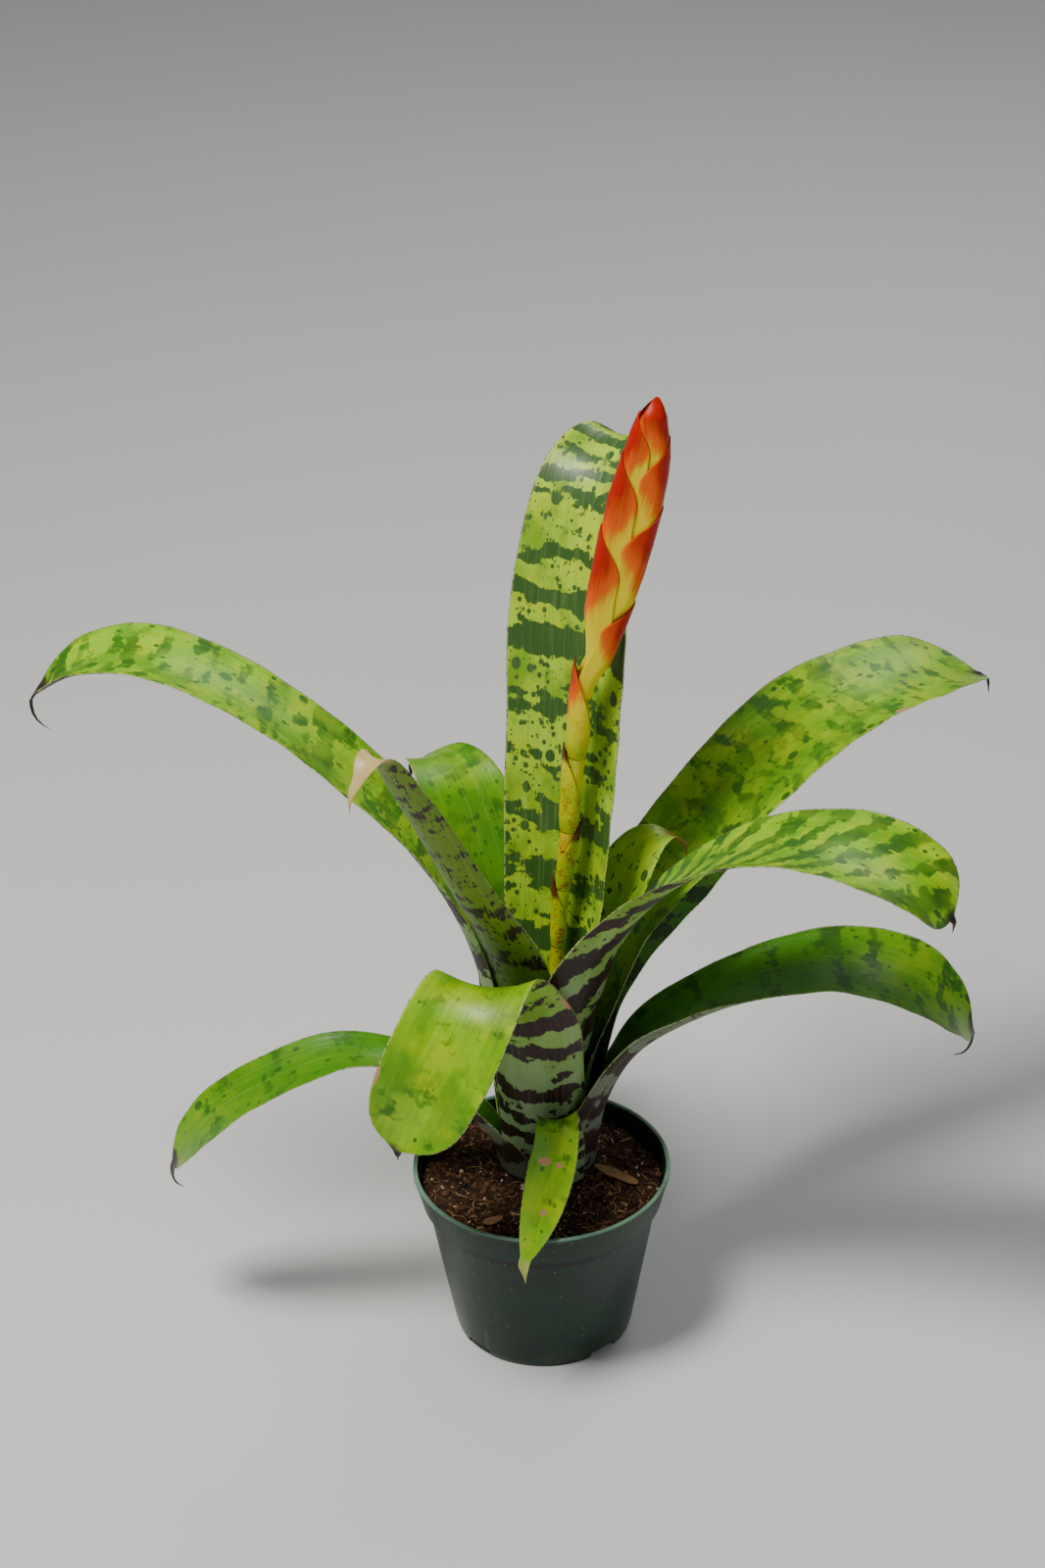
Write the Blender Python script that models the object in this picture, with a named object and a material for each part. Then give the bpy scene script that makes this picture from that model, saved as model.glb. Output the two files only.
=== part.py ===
"""Potted bromeliad with banded strap leaves and one flat flower spike, in a round nursery pot.

The pot stands on z = 0 with its foot centred on the origin. Lengths below are in millimetres
and become metres when a mesh is made.
"""

from math import cos, pi, radians, sin, tau

import bmesh
import bpy
import numpy as np

MM = 0.001

# ---- pot -----------------------------------------------------------------------------------
POT_HEIGHT = 83.0
POT_RIM_RADIUS = 57.0
POT_BASE_RADIUS = 39.4
POT_WALL = 1.3
COLLAR_HEIGHT = 15.0
COLLAR_STEP = 2.2
RIM_LIP = 0.7
FOOT_HEIGHT = 3.0
FOOT_WIDTH = 2.4
FLOOR_THICKNESS = 1.8
CENTRE_PAD_RADIUS = 6.0
FOOT_NOTCHES = 4
NOTCH_ANGLE = 20.0
FIRST_NOTCH_AZIMUTH = -49.5
POT_COLUMNS = 60
DRAIN_HOLE_RADIUS = 4.0
DRAIN_HOLE_REACH = 30.0

# ---- potting mix ---------------------------------------------------------------------------
MIX_LEVEL = 75.4
MIX_BUMP = 0.8
MIX_COLUMNS = 44
PIECE_GAP = 0.3

# ---- crown, the short stem that every leaf grows from ----------------------------------------
PLANT_X = 3.0
PLANT_Y = 12.0
CROWN_PROFILE = ((0.0, 90.6), (11.6, 90.6), (13.6, 88.4), (15.2, 86.2), (16.3, 84.0), (17.9, 79.0))
CROWN_ROOT_RADIUS = 14.0
CROWN_ROOT_BOTTOM = 58.0

# ---- leaves --------------------------------------------------------------------------------
LEAF_THICKNESS = 1.0
LEAF_EDGE_THICKNESS = 0.6
LEAF_STATIONS = (0, 0.06, 0.12, 0.18, 0.24, 0.31, 0.38, 0.46, 0.54, 0.62, 0.7, 0.78, 0.85, 0.91,
                 0.96, 1)
LEAF_STRIPS = 6

# Each leaf: the way it points seen from above (0 is +X, 90 is +Y), and its midrib as
# (reach from the plant axis, height above the ground). They are listed from the inside of the
# rosette outwards, as the sheaths are wrapped round each other. A veer is how far the leaf drifts
# sideways by its tip, from what share of its length, and how late the drift comes.
LEAVES = {
    "leaf_back_tall": {
        "azimuth": 58, "width": 58, "sheath": 90, "blade_curl": 35, "neck": 0.93, "neck_curl": 85,
        "veer": (13, 0.2, 1.6),
        "midrib": ((7.4, 98), (10.2, 130), (14, 180), (21, 235), (30, 300), (42, 355), (58, 387),
                   (80, 396), (102, 382)),
    },
    "leaf_inner_young": {
        "azimuth": 44, "width": 36, "sheath": 90, "blade_curl": 45, "sheath_width": 26,
        "veer": (-24, 0.2, 1.6),
        "midrib": ((9, 96), (12.2, 130), (19.5, 172), (33, 208), (43, 227), (52, 231), (60, 226)),
    },
    "leaf_inner_left": {
        "azimuth": -128, "width": 27, "sheath": 85, "neck_curl": 92, "blade_curl": 110,
        "neck": 1.5, "sheath_width": 42, "veer": (-8, 0.2, 1.6), "bluntness": 4,
        "midrib": ((10.5, 94), (14.9, 140), (28, 194), (50, 236), (70, 274), (86, 304), (98, 326),
                   (110, 318)),
    },
    "leaf_middle_right": {
        "azimuth": -36, "width": 56, "sheath": 85, "neck_curl": 85, "blade_curl": 50,
        "neck": 1.05, "sheath_width": 54, "veer": (54, 0.2, 1.6), "bluntness": 8,
        "midrib": ((12.8, 92), (18.8, 140), (30, 190), (54, 228), (88, 253), (124, 260), (156, 250),
                   (168, 234)),
    },
    "leaf_upper_right": {
        "azimuth": 32, "width": 64, "sheath": 75, "blade_curl": 40, "sheath_width": 44,
        "neck": 0.72, "bluntness": 7,
        "midrib": ((14.6, 90), (22.6, 138), (46, 184), (82, 218), (122, 246), (160, 260),
                   (205, 260), (235, 250)),
    },
    "leaf_upper_left": {
        "azimuth": 172, "width": 48, "sheath": 75, "sheath_width": 48, "neck_curl": 120,
        "bluntness": 9,
        "midrib": ((16.1, 88), (22, 135), (32, 190), (54, 236), (86, 273), (122, 302), (162, 320),
                   (192, 318), (214, 303)),
    },
    "leaf_back_left": {
        "azimuth": 120, "width": 46, "sheath": 70, "sheath_width": 50,
        "midrib": ((17.7, 86), (25.4, 130), (40, 180), (56, 213), (73, 234), (92, 238), (112, 226)),
    },
    "leaf_front_left": {
        "azimuth": -100, "width": 47, "sheath": 70, "neck_curl": 90, "blade_curl": 40,
        "neck": 0.9, "sheath_width": 46, "veer": (-50, 0.4, 1.05), "bluntness": 9,
        "midrib": ((19, 81), (21.5, 95), (25.5, 133), (33, 172), (47, 197), (65, 191), (77, 164),
                   (83, 136)),
    },
    "leaf_back_right": {
        "azimuth": 46, "width": 44, "sheath": 60, "blade_curl": 50, "sheath_width": 38,
        "midrib": ((19, 79), (21, 95), (24.5, 120), (36, 147), (62, 171), (100, 186), (140, 192)),
    },
    "leaf_low_right": {
        "azimuth": -16, "width": 54, "sheath": 55, "blade_curl": 50, "sheath_width": 50,
        "neck": 0.76, "neck_curl": 120, "bluntness": 5, "veer": (64, 0.15, 1.3),
        "midrib": ((21, 78), (23, 94), (27, 113), (39, 137), (60, 154), (91, 169), (121, 174),
                   (149, 165), (168, 148), (177, 132)),
    },
    "leaf_low_left": {
        "azimuth": -160, "width": 31, "sheath": 50, "blade_curl": 50, "sheath_width": 42,
        "neck": 0.95, "neck_curl": 110, "bluntness": 4.5, "veer": (-57, 0.15, 1.3),
        "midrib": ((21.5, 77), (24.5, 90), (31, 103), (44, 121), (66, 138), (90, 142), (112, 133),
                   (135, 116), (150, 95), (157, 77)),
    },
    "leaf_low_back": {
        "azimuth": 98, "width": 40, "sheath": 50, "blade_curl": 50, "sheath_width": 44,
        "midrib": ((24, 78), (29.6, 92), (40, 112), (58, 132), (86, 146), (112, 140), (130, 120),
                   (138, 98)),
    },
    "leaf_front_small": {
        "azimuth": -80, "width": 22, "sheath": 40, "blade_curl": 50, "veer": (-25, 0.3, 1.5),
        "midrib": ((22.8, 77), (28, 98), (33, 116), (41, 126), (50, 120), (58, 105), (65, 92),
                   (71, 82), (74, 77)),
    },
}
LEAF_COLOURS = {
    "leaf_back_tall": (0.36, 0.50, 0.10), "leaf_back_left": (0.16, 0.38, 0.04),
    "leaf_low_right": (0.12, 0.28, 0.04), "leaf_low_left": (0.17, 0.36, 0.05),
}
LEAF_COLOUR = (0.27, 0.45, 0.07)

# ---- flower spike --------------------------------------------------------------------------
# the line of the stalk from the crown to the tip of the spike, as (x, y, z)
STALK_LINE = ((3.4, 12.4, 91.3), (5, 13.5, 130), (9.5, 15.5, 195), (13, 17, 234), (19, 19, 289),
              (23, 20, 315), (32, 21, 349), (40, 21.5, 383), (46.5, 22, 411), (51.5, 22.5, 442))
STALK_RADIUS = 3.0
STALK_JOINT_RADIUS = 3.9
STALK_SPIKE_RADIUS = 1.7
STALK_SPIKE_SHARE = 0.61
STALK_SIDES = 16
BRACT_THICKNESS = 0.45
KEEL_ROUNDING = 4.5
# clasping bracts of the bare stalk: where the foot and the tip sit along the stalk, the side
# that the tip is on, and how far the tip stands out
STALK_BRACTS = {
    "stalk_bract_1": (0.27, 0.37, 180, 1.2), "stalk_bract_2": (0.35, 0.45, 0, 1.3),
    "stalk_bract_3": (0.43, 0.55, 180, 1.7), "stalk_bract_4": (0.53, 0.66, 180, 3.2),
}
# flower bracts: foot and tip along the stalk, side, and the tip of the bract below on that side
SPIKE_BRACTS = {
    "spike_bract_1": (0.610, 0.745, 0, 0.0), "spike_bract_2": (0.645, 0.835, 180, 0.0),
    "spike_bract_3": (0.690, 0.870, 0, 0.745), "spike_bract_4": (0.735, 0.930, 180, 0.835),
    "spike_bract_5": (0.785, 0.955, 0, 0.870), "spike_bract_6": (0.840, 0.982, 180, 0.930),
    "spike_bract_7": (0.885, 1.000, 0, 0.955),
}
# outline of the spike: half width at places along the stalk
SPIKE_OUTLINE = ((0.60, 4.2), (0.66, 7.6), (0.75, 10.4), (0.82, 11.5), (0.87, 11.6), (0.93, 9.8),
                 (0.955, 8.2), (0.977, 6.0), (0.99, 3.6), (1.0, 1.2))

# ---- loose bark on the mix: centre, length, width, turn --------------------------------------
BARK_CHIPS = {
    "bark_chip_long": (33.0, -2.0, 24.0, 6.0, -38), "bark_chip_short": (-22.0, -34.0, 9.0, 5.0, 25),
}
BARK_THICKNESS = 1.2


def clear_scene():
    for obj in list(bpy.data.objects):
        bpy.data.objects.remove(obj, do_unlink=True)


def material_of(name, colour, roughness):
    material = bpy.data.materials.new(name)
    material.use_nodes = True
    shader = material.node_tree.nodes["Principled BSDF"]
    shader.inputs["Base Color"].default_value = (*colour, 1)
    shader.inputs["Roughness"].default_value = roughness
    return material


def add_object(name, points, faces, material, smooth=True):
    """One named object from points in millimetres, with its faces turned outwards."""
    mesh = bpy.data.meshes.new(name)
    mesh.from_pydata((np.asarray(points) * MM).tolist(), [], faces)
    work = bmesh.new()
    work.from_mesh(mesh)
    bmesh.ops.recalc_face_normals(work, faces=work.faces)
    work.to_mesh(mesh)
    work.free()
    mesh.polygons.foreach_set("use_smooth", [smooth] * len(mesh.polygons))
    mesh.materials.append(material)
    obj = bpy.data.objects.new(name, mesh)
    bpy.context.scene.collection.objects.link(obj)
    return obj


def ramp(value, start, end):
    """0 up to start, 1 from end on, and an even S between."""
    share = np.clip((value - start) / (end - start), 0, 1)
    return share * share * (3 - 2 * share)


def curve_through(points, stations):
    """A smooth line through the points, read at the given shares of its length."""
    knots = np.array(points, float)
    knots = np.vstack([2 * knots[0] - knots[1], knots, 2 * knots[-1] - knots[-2]])
    line = []
    for a, b, c, d in zip(knots, knots[1:], knots[2:], knots[3:]):
        for t in np.linspace(0, 1, 24, endpoint=False):
            line.append(0.5 * (2 * b + (c - a) * t + (2 * a - 5 * b + 4 * c - d) * t ** 2
                               + (3 * b - a - 3 * c + d) * t ** 3))
    line = np.array(line + [knots[-2]])
    steps = np.linalg.norm(np.diff(line, axis=0), axis=1)
    along = np.concatenate([[0], np.cumsum(steps)])
    wanted = np.asarray(stations) * along[-1]
    read = [np.interp(wanted, along, line[:, axis]) for axis in range(line.shape[1])]
    return np.stack(read, axis=1), along[-1]


def unit(vectors):
    return vectors / np.linalg.norm(vectors, axis=-1, keepdims=True)


def sheet_solid(name, middle, normals, thickness, material):
    """A closed thin sheet: the grid of mid-surface points thickened along its normals."""
    rows, columns = middle.shape[:2]
    offset = normals * thickness[..., None] / 2
    points = np.concatenate([(middle + offset).reshape(-1, 3), (middle - offset).reshape(-1, 3)])
    under = rows * columns
    faces = []
    for i in range(rows - 1):
        for j in range(columns - 1):
            a = i * columns + j
            b, c, d = a + 1, a + columns + 1, a + columns
            faces.append((a, b, c, d))
            faces.append((a + under, d + under, c + under, b + under))
    left = [i * columns for i in range(rows)]
    end = [(rows - 1) * columns + j for j in range(1, columns)]
    right = [i * columns + columns - 1 for i in range(rows - 2, -1, -1)]
    start = list(range(columns - 2, 0, -1))
    rim = left + end + right + start
    for a, b in zip(rim, rim[1:] + rim[:1]):
        faces.append((a, b, b + under, a + under))
    return add_object(name, points, faces, material)


def turned_solid(name, profile, columns, material, centre=(0.0, 0.0), adjust=None):
    """A closed solid of revolution. The profile runs from the axis to the axis, and adjust can
    shift a ring's point: it is given the ring's number, radius, height and the point's angle."""
    rings = profile[1:-1]
    points = [(*centre, profile[0][1]), (*centre, profile[-1][1])]
    for row, (radius, height) in enumerate(rings):
        for column in range(columns):
            angle = tau * column / columns
            x, y, z = adjust(row, radius, height, angle) if adjust else (0, 0, 0)
            points.append((centre[0] + radius * cos(angle) + x,
                           centre[1] + radius * sin(angle) + y, height + z))
    faces = []
    last = 2 + (len(rings) - 1) * columns
    for column in range(columns):
        after = (column + 1) % columns
        faces.append((0, 2 + column, 2 + after))
        faces.append((1, last + after, last + column))
        for row in range(len(rings) - 1):
            low = 2 + row * columns
            faces.append((low + column, low + columns + column, low + columns + after, low + after))
    return add_object(name, points, faces, material)


def leaf_width(share, leaf, sheath_share, base_radius):
    """Flat width of the leaf along its length: broad sheath, neck, blade, pointed tip."""
    blade = leaf["width"]
    neck = leaf.get("neck", 0.82) * blade
    sheath = leaf.get("sheath_width", min(1.15 * blade, 3.3 * base_radius))
    width = sheath + (neck - sheath) * ramp(share, 0.35 * sheath_share, 1.25 * sheath_share)
    width = width + (blade - width) * ramp(share, sheath_share, sheath_share + 0.42)
    into_tip = np.clip((share - 0.6) / 0.4, 0, 1)
    tip = (1 - into_tip ** leaf.get("bluntness", 2.4)) ** 0.75
    return width * (0.975 * tip + 0.025), neck


def leaf_surface(leaf):
    """Mid-surface points and normals of a leaf, as grids of stations by strips."""
    azimuth = radians(leaf["azimuth"])
    out = np.array([cos(azimuth), sin(azimuth), 0])
    side = np.array([-sin(azimuth), cos(azimuth), 0])
    fine = np.linspace(0, 1, 241)
    midrib, length = curve_through(leaf["midrib"], fine)
    sheath_share = leaf["sheath"] / length
    veer, start, power = leaf.get("veer", (0, 0, 1))
    drift = veer * np.clip((fine - start) / (1 - start), 0, 1) ** power
    line = (np.array([PLANT_X, PLANT_Y, 0]) + midrib[:, :1] * out
            + midrib[:, 1:] * np.array([0, 0, 1]) + drift[:, None] * side)
    forward = unit(np.gradient(line, axis=0))
    across = unit(side - (forward @ side)[:, None] * forward)
    upper = np.cross(forward, across)
    if upper[0] @ out > 0:
        upper = -upper

    width, neck = leaf_width(fine, leaf, sheath_share, midrib[0, 0])
    neck_curl = radians(leaf.get("neck_curl", 100))
    blade_curl = radians(leaf.get("blade_curl", 45))
    curl = neck_curl + (blade_curl - neck_curl) * ramp(fine, sheath_share, 0.62)
    curl = curl + (radians(60) - curl) * ramp(fine, 0.78, 1)
    free = ramp(fine, 0.55 * sheath_share, 1.35 * sheath_share)
    radius = midrib[:, 0] * (1 - free) + width / curl * free

    def at_stations(values):
        columns = values.reshape(len(fine), -1).T
        return np.stack([np.interp(LEAF_STATIONS, fine, column) for column in columns], axis=1)

    line, across, upper = at_stations(line), at_stations(across), at_stations(upper)
    width, radius = at_stations(width), at_stations(radius)
    angle = width / radius * np.linspace(-0.5, 0.5, LEAF_STRIPS + 1)
    sine, cosine = np.sin(angle)[..., None], np.cos(angle)[..., None]
    reach = radius[..., None]
    middle = line[:, None] + reach * (sine * across[:, None] + (1 - cosine) * upper[:, None])
    normals = cosine * upper[:, None] - sine * across[:, None]
    return middle, normals, width


def build_leaf(name, leaf):
    middle, normals, width = leaf_surface(leaf)
    from_midrib = np.abs(np.linspace(-1, 1, LEAF_STRIPS + 1))
    body = LEAF_THICKNESS - (LEAF_THICKNESS - LEAF_EDGE_THICKNESS) * from_midrib ** 2
    thickness = body * np.minimum(1, 0.5 + width / 20)
    material = material_of(name + "_green", LEAF_COLOURS.get(name, LEAF_COLOUR), 0.35)
    sheet_solid(name, middle, normals, thickness, material)


def stalk_frame(stations):
    """Points of the stalk line with the directions along it, to its right and to its back."""
    line, length = curve_through(STALK_LINE, stations)
    fine, _ = curve_through(STALK_LINE, np.linspace(0, 1, 201))
    slopes = unit(np.gradient(fine, axis=0))
    forward = unit(np.stack([np.interp(stations, np.linspace(0, 1, 201), slopes[:, k])
                             for k in range(3)], axis=1))
    back = unit(np.array([0, 1, 0]) - forward[:, 1:2] * forward)
    right = np.cross(forward, back)
    return line, forward, -right if right[0, 0] < 0 else right, back, length


def stalk_radius(shares):
    bare = STALK_RADIUS + (STALK_JOINT_RADIUS - STALK_RADIUS) * ramp(shares, 0.3, 0.5)
    thin = ramp(shares, STALK_SPIKE_SHARE - 0.07, STALK_SPIKE_SHARE)
    return bare + (STALK_SPIKE_RADIUS - bare) * thin


def build_stalk(material):
    shares = np.array([0, 0.12, 0.24, 0.36, 0.48, 0.54, 0.575, 0.61, 0.7, 0.8, 0.9, 0.97])
    line, _, right, back, _ = stalk_frame(shares)
    radius = stalk_radius(shares) * (1 - 0.45 * ramp(shares, 0.85, 1))
    points = [line[0], line[-1]]
    for p, r, x, y in zip(line, radius, right, back):
        for side in range(STALK_SIDES):
            angle = tau * side / STALK_SIDES
            points.append(p + r * (cos(angle) * x + sin(angle) * y))
    faces = []
    last = 2 + (len(line) - 1) * STALK_SIDES
    for side in range(STALK_SIDES):
        after = (side + 1) % STALK_SIDES
        faces.append((0, 2 + side, 2 + after))
        faces.append((1, last + after, last + side))
        for row in range(len(line) - 1):
            low = 2 + row * STALK_SIDES
            high = low + STALK_SIDES
            faces.append((low + side, high + side, high + after, low + after))
    add_object("flower_stalk", points, faces, material)


def build_stalk_bract(name, foot, tip, azimuth, flare, material):
    """A thin pointed scale wrapped round the stalk, its tip standing a little off it."""
    up = np.array([0, 0.2, 0.4, 0.6, 0.78, 0.92, 1])
    station = foot + (tip - foot) * up
    line, _, right, back, _ = stalk_frame(station)
    radius = np.maximum(stalk_radius(station), stalk_radius(foot)) + 0.65 + flare * up ** 0.85
    spread = radians(155) * (1 - up ** 1.8) + radians(6)
    angle = radians(azimuth) + spread[:, None] * np.linspace(-1, 1, 13)
    normals = (np.cos(angle)[..., None] * right[:, None] + np.sin(angle)[..., None] * back[:, None])
    middle = line[:, None] + radius[:, None, None] * normals
    sheet_solid(name, middle, normals, np.full(angle.shape, BRACT_THICKNESS), material)


def build_spike_bract(name, foot, tip, azimuth, lower_tip, material):
    """A boat-shaped scale, folded at its keel, whose two cheeks clasp the next scale's foot."""
    up = np.array([0, 0.1, 0.22, 0.35, 0.48, 0.6, 0.72, 0.84, 0.93, 1])
    station = foot + (tip - foot) * up
    line, _, right, back, _ = stalk_frame(station)
    outward = right * (1 if azimuth == 0 else -1)
    outline = np.interp(station, *zip(*SPIKE_OUTLINE))
    inside = 1.0 - ramp(station, lower_tip + 0.005, lower_tip + 0.04) if lower_tip else 0
    keel_reach = 2.9 + (outline - inside - 2.9) * ramp(up, 0, 0.45)
    margin = -2.8 - 1.4 * ramp(up, 0, 0.2) + 3.0 * ramp(up, 0.2, 0.6)
    margin = margin + (keel_reach - 0.1 - margin) * ramp(up, 0.62, 1) ** 1.3
    far_side = outline - 2.0 + ramp(station, 0.945, 0.975) + ramp(station, 0.985, 1.0)
    if tip == 1:
        margin = -2.8 + (3.4 - far_side) * ramp(up, 0.1, 0.6)
    half_depth = 2.5 + 3.9 * up
    across = np.linspace(-1, 1, 9)
    from_keel = (keel_reach - margin)[:, None] * np.abs(across)
    sideways = keel_reach[:, None] - from_keel
    bulge = np.sqrt(1 - (1 - np.minimum(1, from_keel / KEEL_ROUNDING)) ** 2)
    if tip == 1:
        from_far_side = np.clip((sideways + far_side[:, None]) / KEEL_ROUNDING, 0, 1)
        bulge = bulge * np.sqrt(1 - (1 - from_far_side) ** 2)
    depth = half_depth[:, None] * np.sign(across) * bulge
    middle = (line[:, None] + sideways[..., None] * outward[:, None]
              + depth[..., None] * back[:, None])
    normals = unit(np.cross(np.gradient(middle, axis=1), np.gradient(middle, axis=0)))
    sheet_solid(name, middle, normals, np.full(normals.shape[:2], BRACT_THICKNESS), material)


def pot_profile():
    """Outline of the pot's wall in half section, from the floor's middle outside to inside."""
    collar_bottom = POT_HEIGHT - COLLAR_HEIGHT
    slope = (POT_RIM_RADIUS - RIM_LIP - COLLAR_STEP - POT_BASE_RADIUS) / POT_HEIGHT
    below_collar = POT_BASE_RADIUS + slope * collar_bottom
    collar_foot = below_collar + COLLAR_STEP
    under_rim = POT_RIM_RADIUS - RIM_LIP
    return (
        (0, 0), (CENTRE_PAD_RADIUS, 0), (CENTRE_PAD_RADIUS + 0.6, FOOT_HEIGHT),
        (POT_BASE_RADIUS - FOOT_WIDTH, FOOT_HEIGHT),
        (POT_BASE_RADIUS - FOOT_WIDTH, 0), (POT_BASE_RADIUS - 0.4, 0),
        (POT_BASE_RADIUS + slope * 3.4, 3.4), (below_collar, collar_bottom),
        (collar_foot, collar_bottom + 0.8), (under_rim, POT_HEIGHT - 2.2),
        (POT_RIM_RADIUS, POT_HEIGHT - 1.6), (POT_RIM_RADIUS, POT_HEIGHT - 0.4),
        (POT_RIM_RADIUS - 0.4, POT_HEIGHT), (under_rim - POT_WALL + 0.2, POT_HEIGHT),
        (under_rim - POT_WALL, POT_HEIGHT - 0.6), (collar_foot - POT_WALL, collar_bottom + 0.8),
        (below_collar - POT_WALL, collar_bottom - 1.0),
        (POT_BASE_RADIUS - POT_WALL + slope * 5, FOOT_HEIGHT + FLOOR_THICKNESS),
        (0, FOOT_HEIGHT + FLOOR_THICKNESS),
    )


def in_notch(angle):
    spacing = 360 / FOOT_NOTCHES
    turn = (np.degrees(angle) - FIRST_NOTCH_AZIMUTH + spacing / 2) % spacing - spacing / 2
    return abs(turn) < NOTCH_ANGLE / 2


def build_pot():
    def raise_notches(row, radius, height, angle):
        on_foot_ring = height == 0 and radius > CENTRE_PAD_RADIUS
        return 0, 0, FOOT_HEIGHT - 0.3 if on_foot_ring and in_notch(angle) else 0

    green = material_of("pot_green", (0.012, 0.045, 0.030), 0.4)
    pot = turned_solid("pot", pot_profile(), POT_COLUMNS, green, adjust=raise_notches)
    for index in range(FOOT_NOTCHES):
        angle = radians(FIRST_NOTCH_AZIMUTH + 360 / FOOT_NOTCHES * index)
        centre = (DRAIN_HOLE_REACH * cos(angle), DRAIN_HOLE_REACH * sin(angle))
        outline = ((0, -1), (DRAIN_HOLE_RADIUS, -1), (DRAIN_HOLE_RADIUS, 9), (0, 9))
        cutter = turned_solid(f"drain_cutter_{index + 1}", outline, 20, green, centre)
        cutter.hide_render = True
        cutter.display_type = "WIRE"
        cut = pot.modifiers.new(f"drain_{index + 1}", "BOOLEAN")
        cut.operation = "DIFFERENCE"
        cut.solver = "EXACT"
        cut.object = cutter


def build_mix():
    """The filling of potting mix, with an uneven top and a pit that holds the crown's root."""
    profile = pot_profile()
    inner_low, inner_high = profile[-2], profile[-3]
    slope = (inner_high[0] - inner_low[0]) / (inner_high[1] - inner_low[1])
    floor = FOOT_HEIGHT + FLOOR_THICKNESS + PIECE_GAP
    low = inner_low[0] - PIECE_GAP - 0.2
    high = low + slope * (inner_high[1] - 3 - floor)
    pit = CROWN_ROOT_RADIUS + PIECE_GAP
    outline = ((0, floor), (low, floor), (high, inner_high[1] - 3), (high + 0.9, MIX_LEVEL),
               (44, MIX_LEVEL), (36, MIX_LEVEL), (29, MIX_LEVEL), (22, MIX_LEVEL),
               (pit, MIX_LEVEL - 0.4), (pit, CROWN_ROOT_BOTTOM - PIECE_GAP),
               (0, CROWN_ROOT_BOTTOM - PIECE_GAP))

    def lumps_and_shift(row, radius, height, angle):
        # the rings of the top move from the pot's axis over to the plant's axis, where the pit is
        share = min(1, max(0, row - 2) / 4)
        bump = sin(5 * angle + radius) + sin(9 * angle - 0.7 * radius) + cos(3 * angle + 2 * row)
        on_top = height > MIX_LEVEL - 1
        return share * PLANT_X, share * PLANT_Y, MIX_BUMP * bump / 3 if on_top else 0

    brown = material_of("mix_brown", (0.045, 0.022, 0.012), 0.95)
    turned_solid("potting_mix", outline, MIX_COLUMNS, brown, adjust=lumps_and_shift)


def build_crown():
    foot = ((17.9, MIX_LEVEL + 1.1), (CROWN_ROOT_RADIUS, MIX_LEVEL + 0.9),
            (CROWN_ROOT_RADIUS, CROWN_ROOT_BOTTOM), (0, CROWN_ROOT_BOTTOM))
    green = material_of("crown_green", (0.20, 0.22, 0.06), 0.7)
    turned_solid("crown", CROWN_PROFILE + foot, 32, green, (PLANT_X, PLANT_Y))


def build_bark_chip(name, x, y, length, width, turn, material):
    """A flat splinter of bark with rounded-off ends."""
    outline = ((-0.5, -0.15), (-0.42, 0.35), (-0.1, 0.5), (0.3, 0.42), (0.5, 0.1), (0.4, -0.4),
               (0.0, -0.5), (-0.4, -0.42))
    angle = radians(turn)
    corners = [(x + length * a * cos(angle) - width * b * sin(angle),
                y + length * a * sin(angle) + width * b * cos(angle)) for a, b in outline]
    base = MIX_LEVEL + MIX_BUMP + PIECE_GAP
    low = [(px, py, base) for px, py in corners]
    high = [(x + 0.86 * (px - x), y + 0.86 * (py - y), base + BARK_THICKNESS) for px, py in corners]
    count = len(outline)
    sides = [(i, (i + 1) % count, count + (i + 1) % count, count + i) for i in range(count)]
    faces = [tuple(range(count)), tuple(range(count, 2 * count))] + sides
    add_object(name, low + high, faces, material, smooth=False)


def main():
    clear_scene()
    build_pot()
    build_mix()
    build_crown()
    for name, leaf in LEAVES.items():
        build_leaf(name, leaf)
    yellow = material_of("stalk_yellow", (0.62, 0.60, 0.03), 0.45)
    build_stalk(yellow)
    for name, (foot, tip, azimuth, flare) in STALK_BRACTS.items():
        build_stalk_bract(name, foot, tip, azimuth, flare, yellow)
    orange = material_of("spike_orange", (0.85, 0.16, 0.01), 0.35)
    for name, (foot, tip, azimuth, lower_tip) in SPIKE_BRACTS.items():
        build_spike_bract(name, foot, tip, azimuth, lower_tip, orange)
    bark = material_of("bark_tan", (0.33, 0.20, 0.10), 0.85)
    for name, (x, y, length, width, turn) in BARK_CHIPS.items():
        build_bark_chip(name, x, y, length, width, turn, bark)


main()
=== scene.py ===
"""Potted bromeliad: banded strap leaves round one flat flower spike, in a round nursery pot.

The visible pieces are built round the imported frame. Lengths in the tables are millimetres.
"""

from math import cos, pi, radians, sin, tau

import bpy
import numpy as np
from mathutils import Matrix, Vector


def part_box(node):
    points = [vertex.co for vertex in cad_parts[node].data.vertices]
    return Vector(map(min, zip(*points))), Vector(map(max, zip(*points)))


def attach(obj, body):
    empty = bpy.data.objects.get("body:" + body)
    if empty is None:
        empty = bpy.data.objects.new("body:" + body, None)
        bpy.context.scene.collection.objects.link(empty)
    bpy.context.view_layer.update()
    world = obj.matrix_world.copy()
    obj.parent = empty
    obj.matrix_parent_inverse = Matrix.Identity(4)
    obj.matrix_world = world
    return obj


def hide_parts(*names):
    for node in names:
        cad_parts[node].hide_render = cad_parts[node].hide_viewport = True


bl_info = {
    "name": "Potted Bromeliad",
    "version": (1, 0, 0),
    "blender": (4, 5, 0),
    "location": "3D View > Sidebar > Bromeliad",
    "description": "Builds a potted bromeliad with banded leaves and a flower spike",
    "category": "Add Mesh",
}

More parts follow.
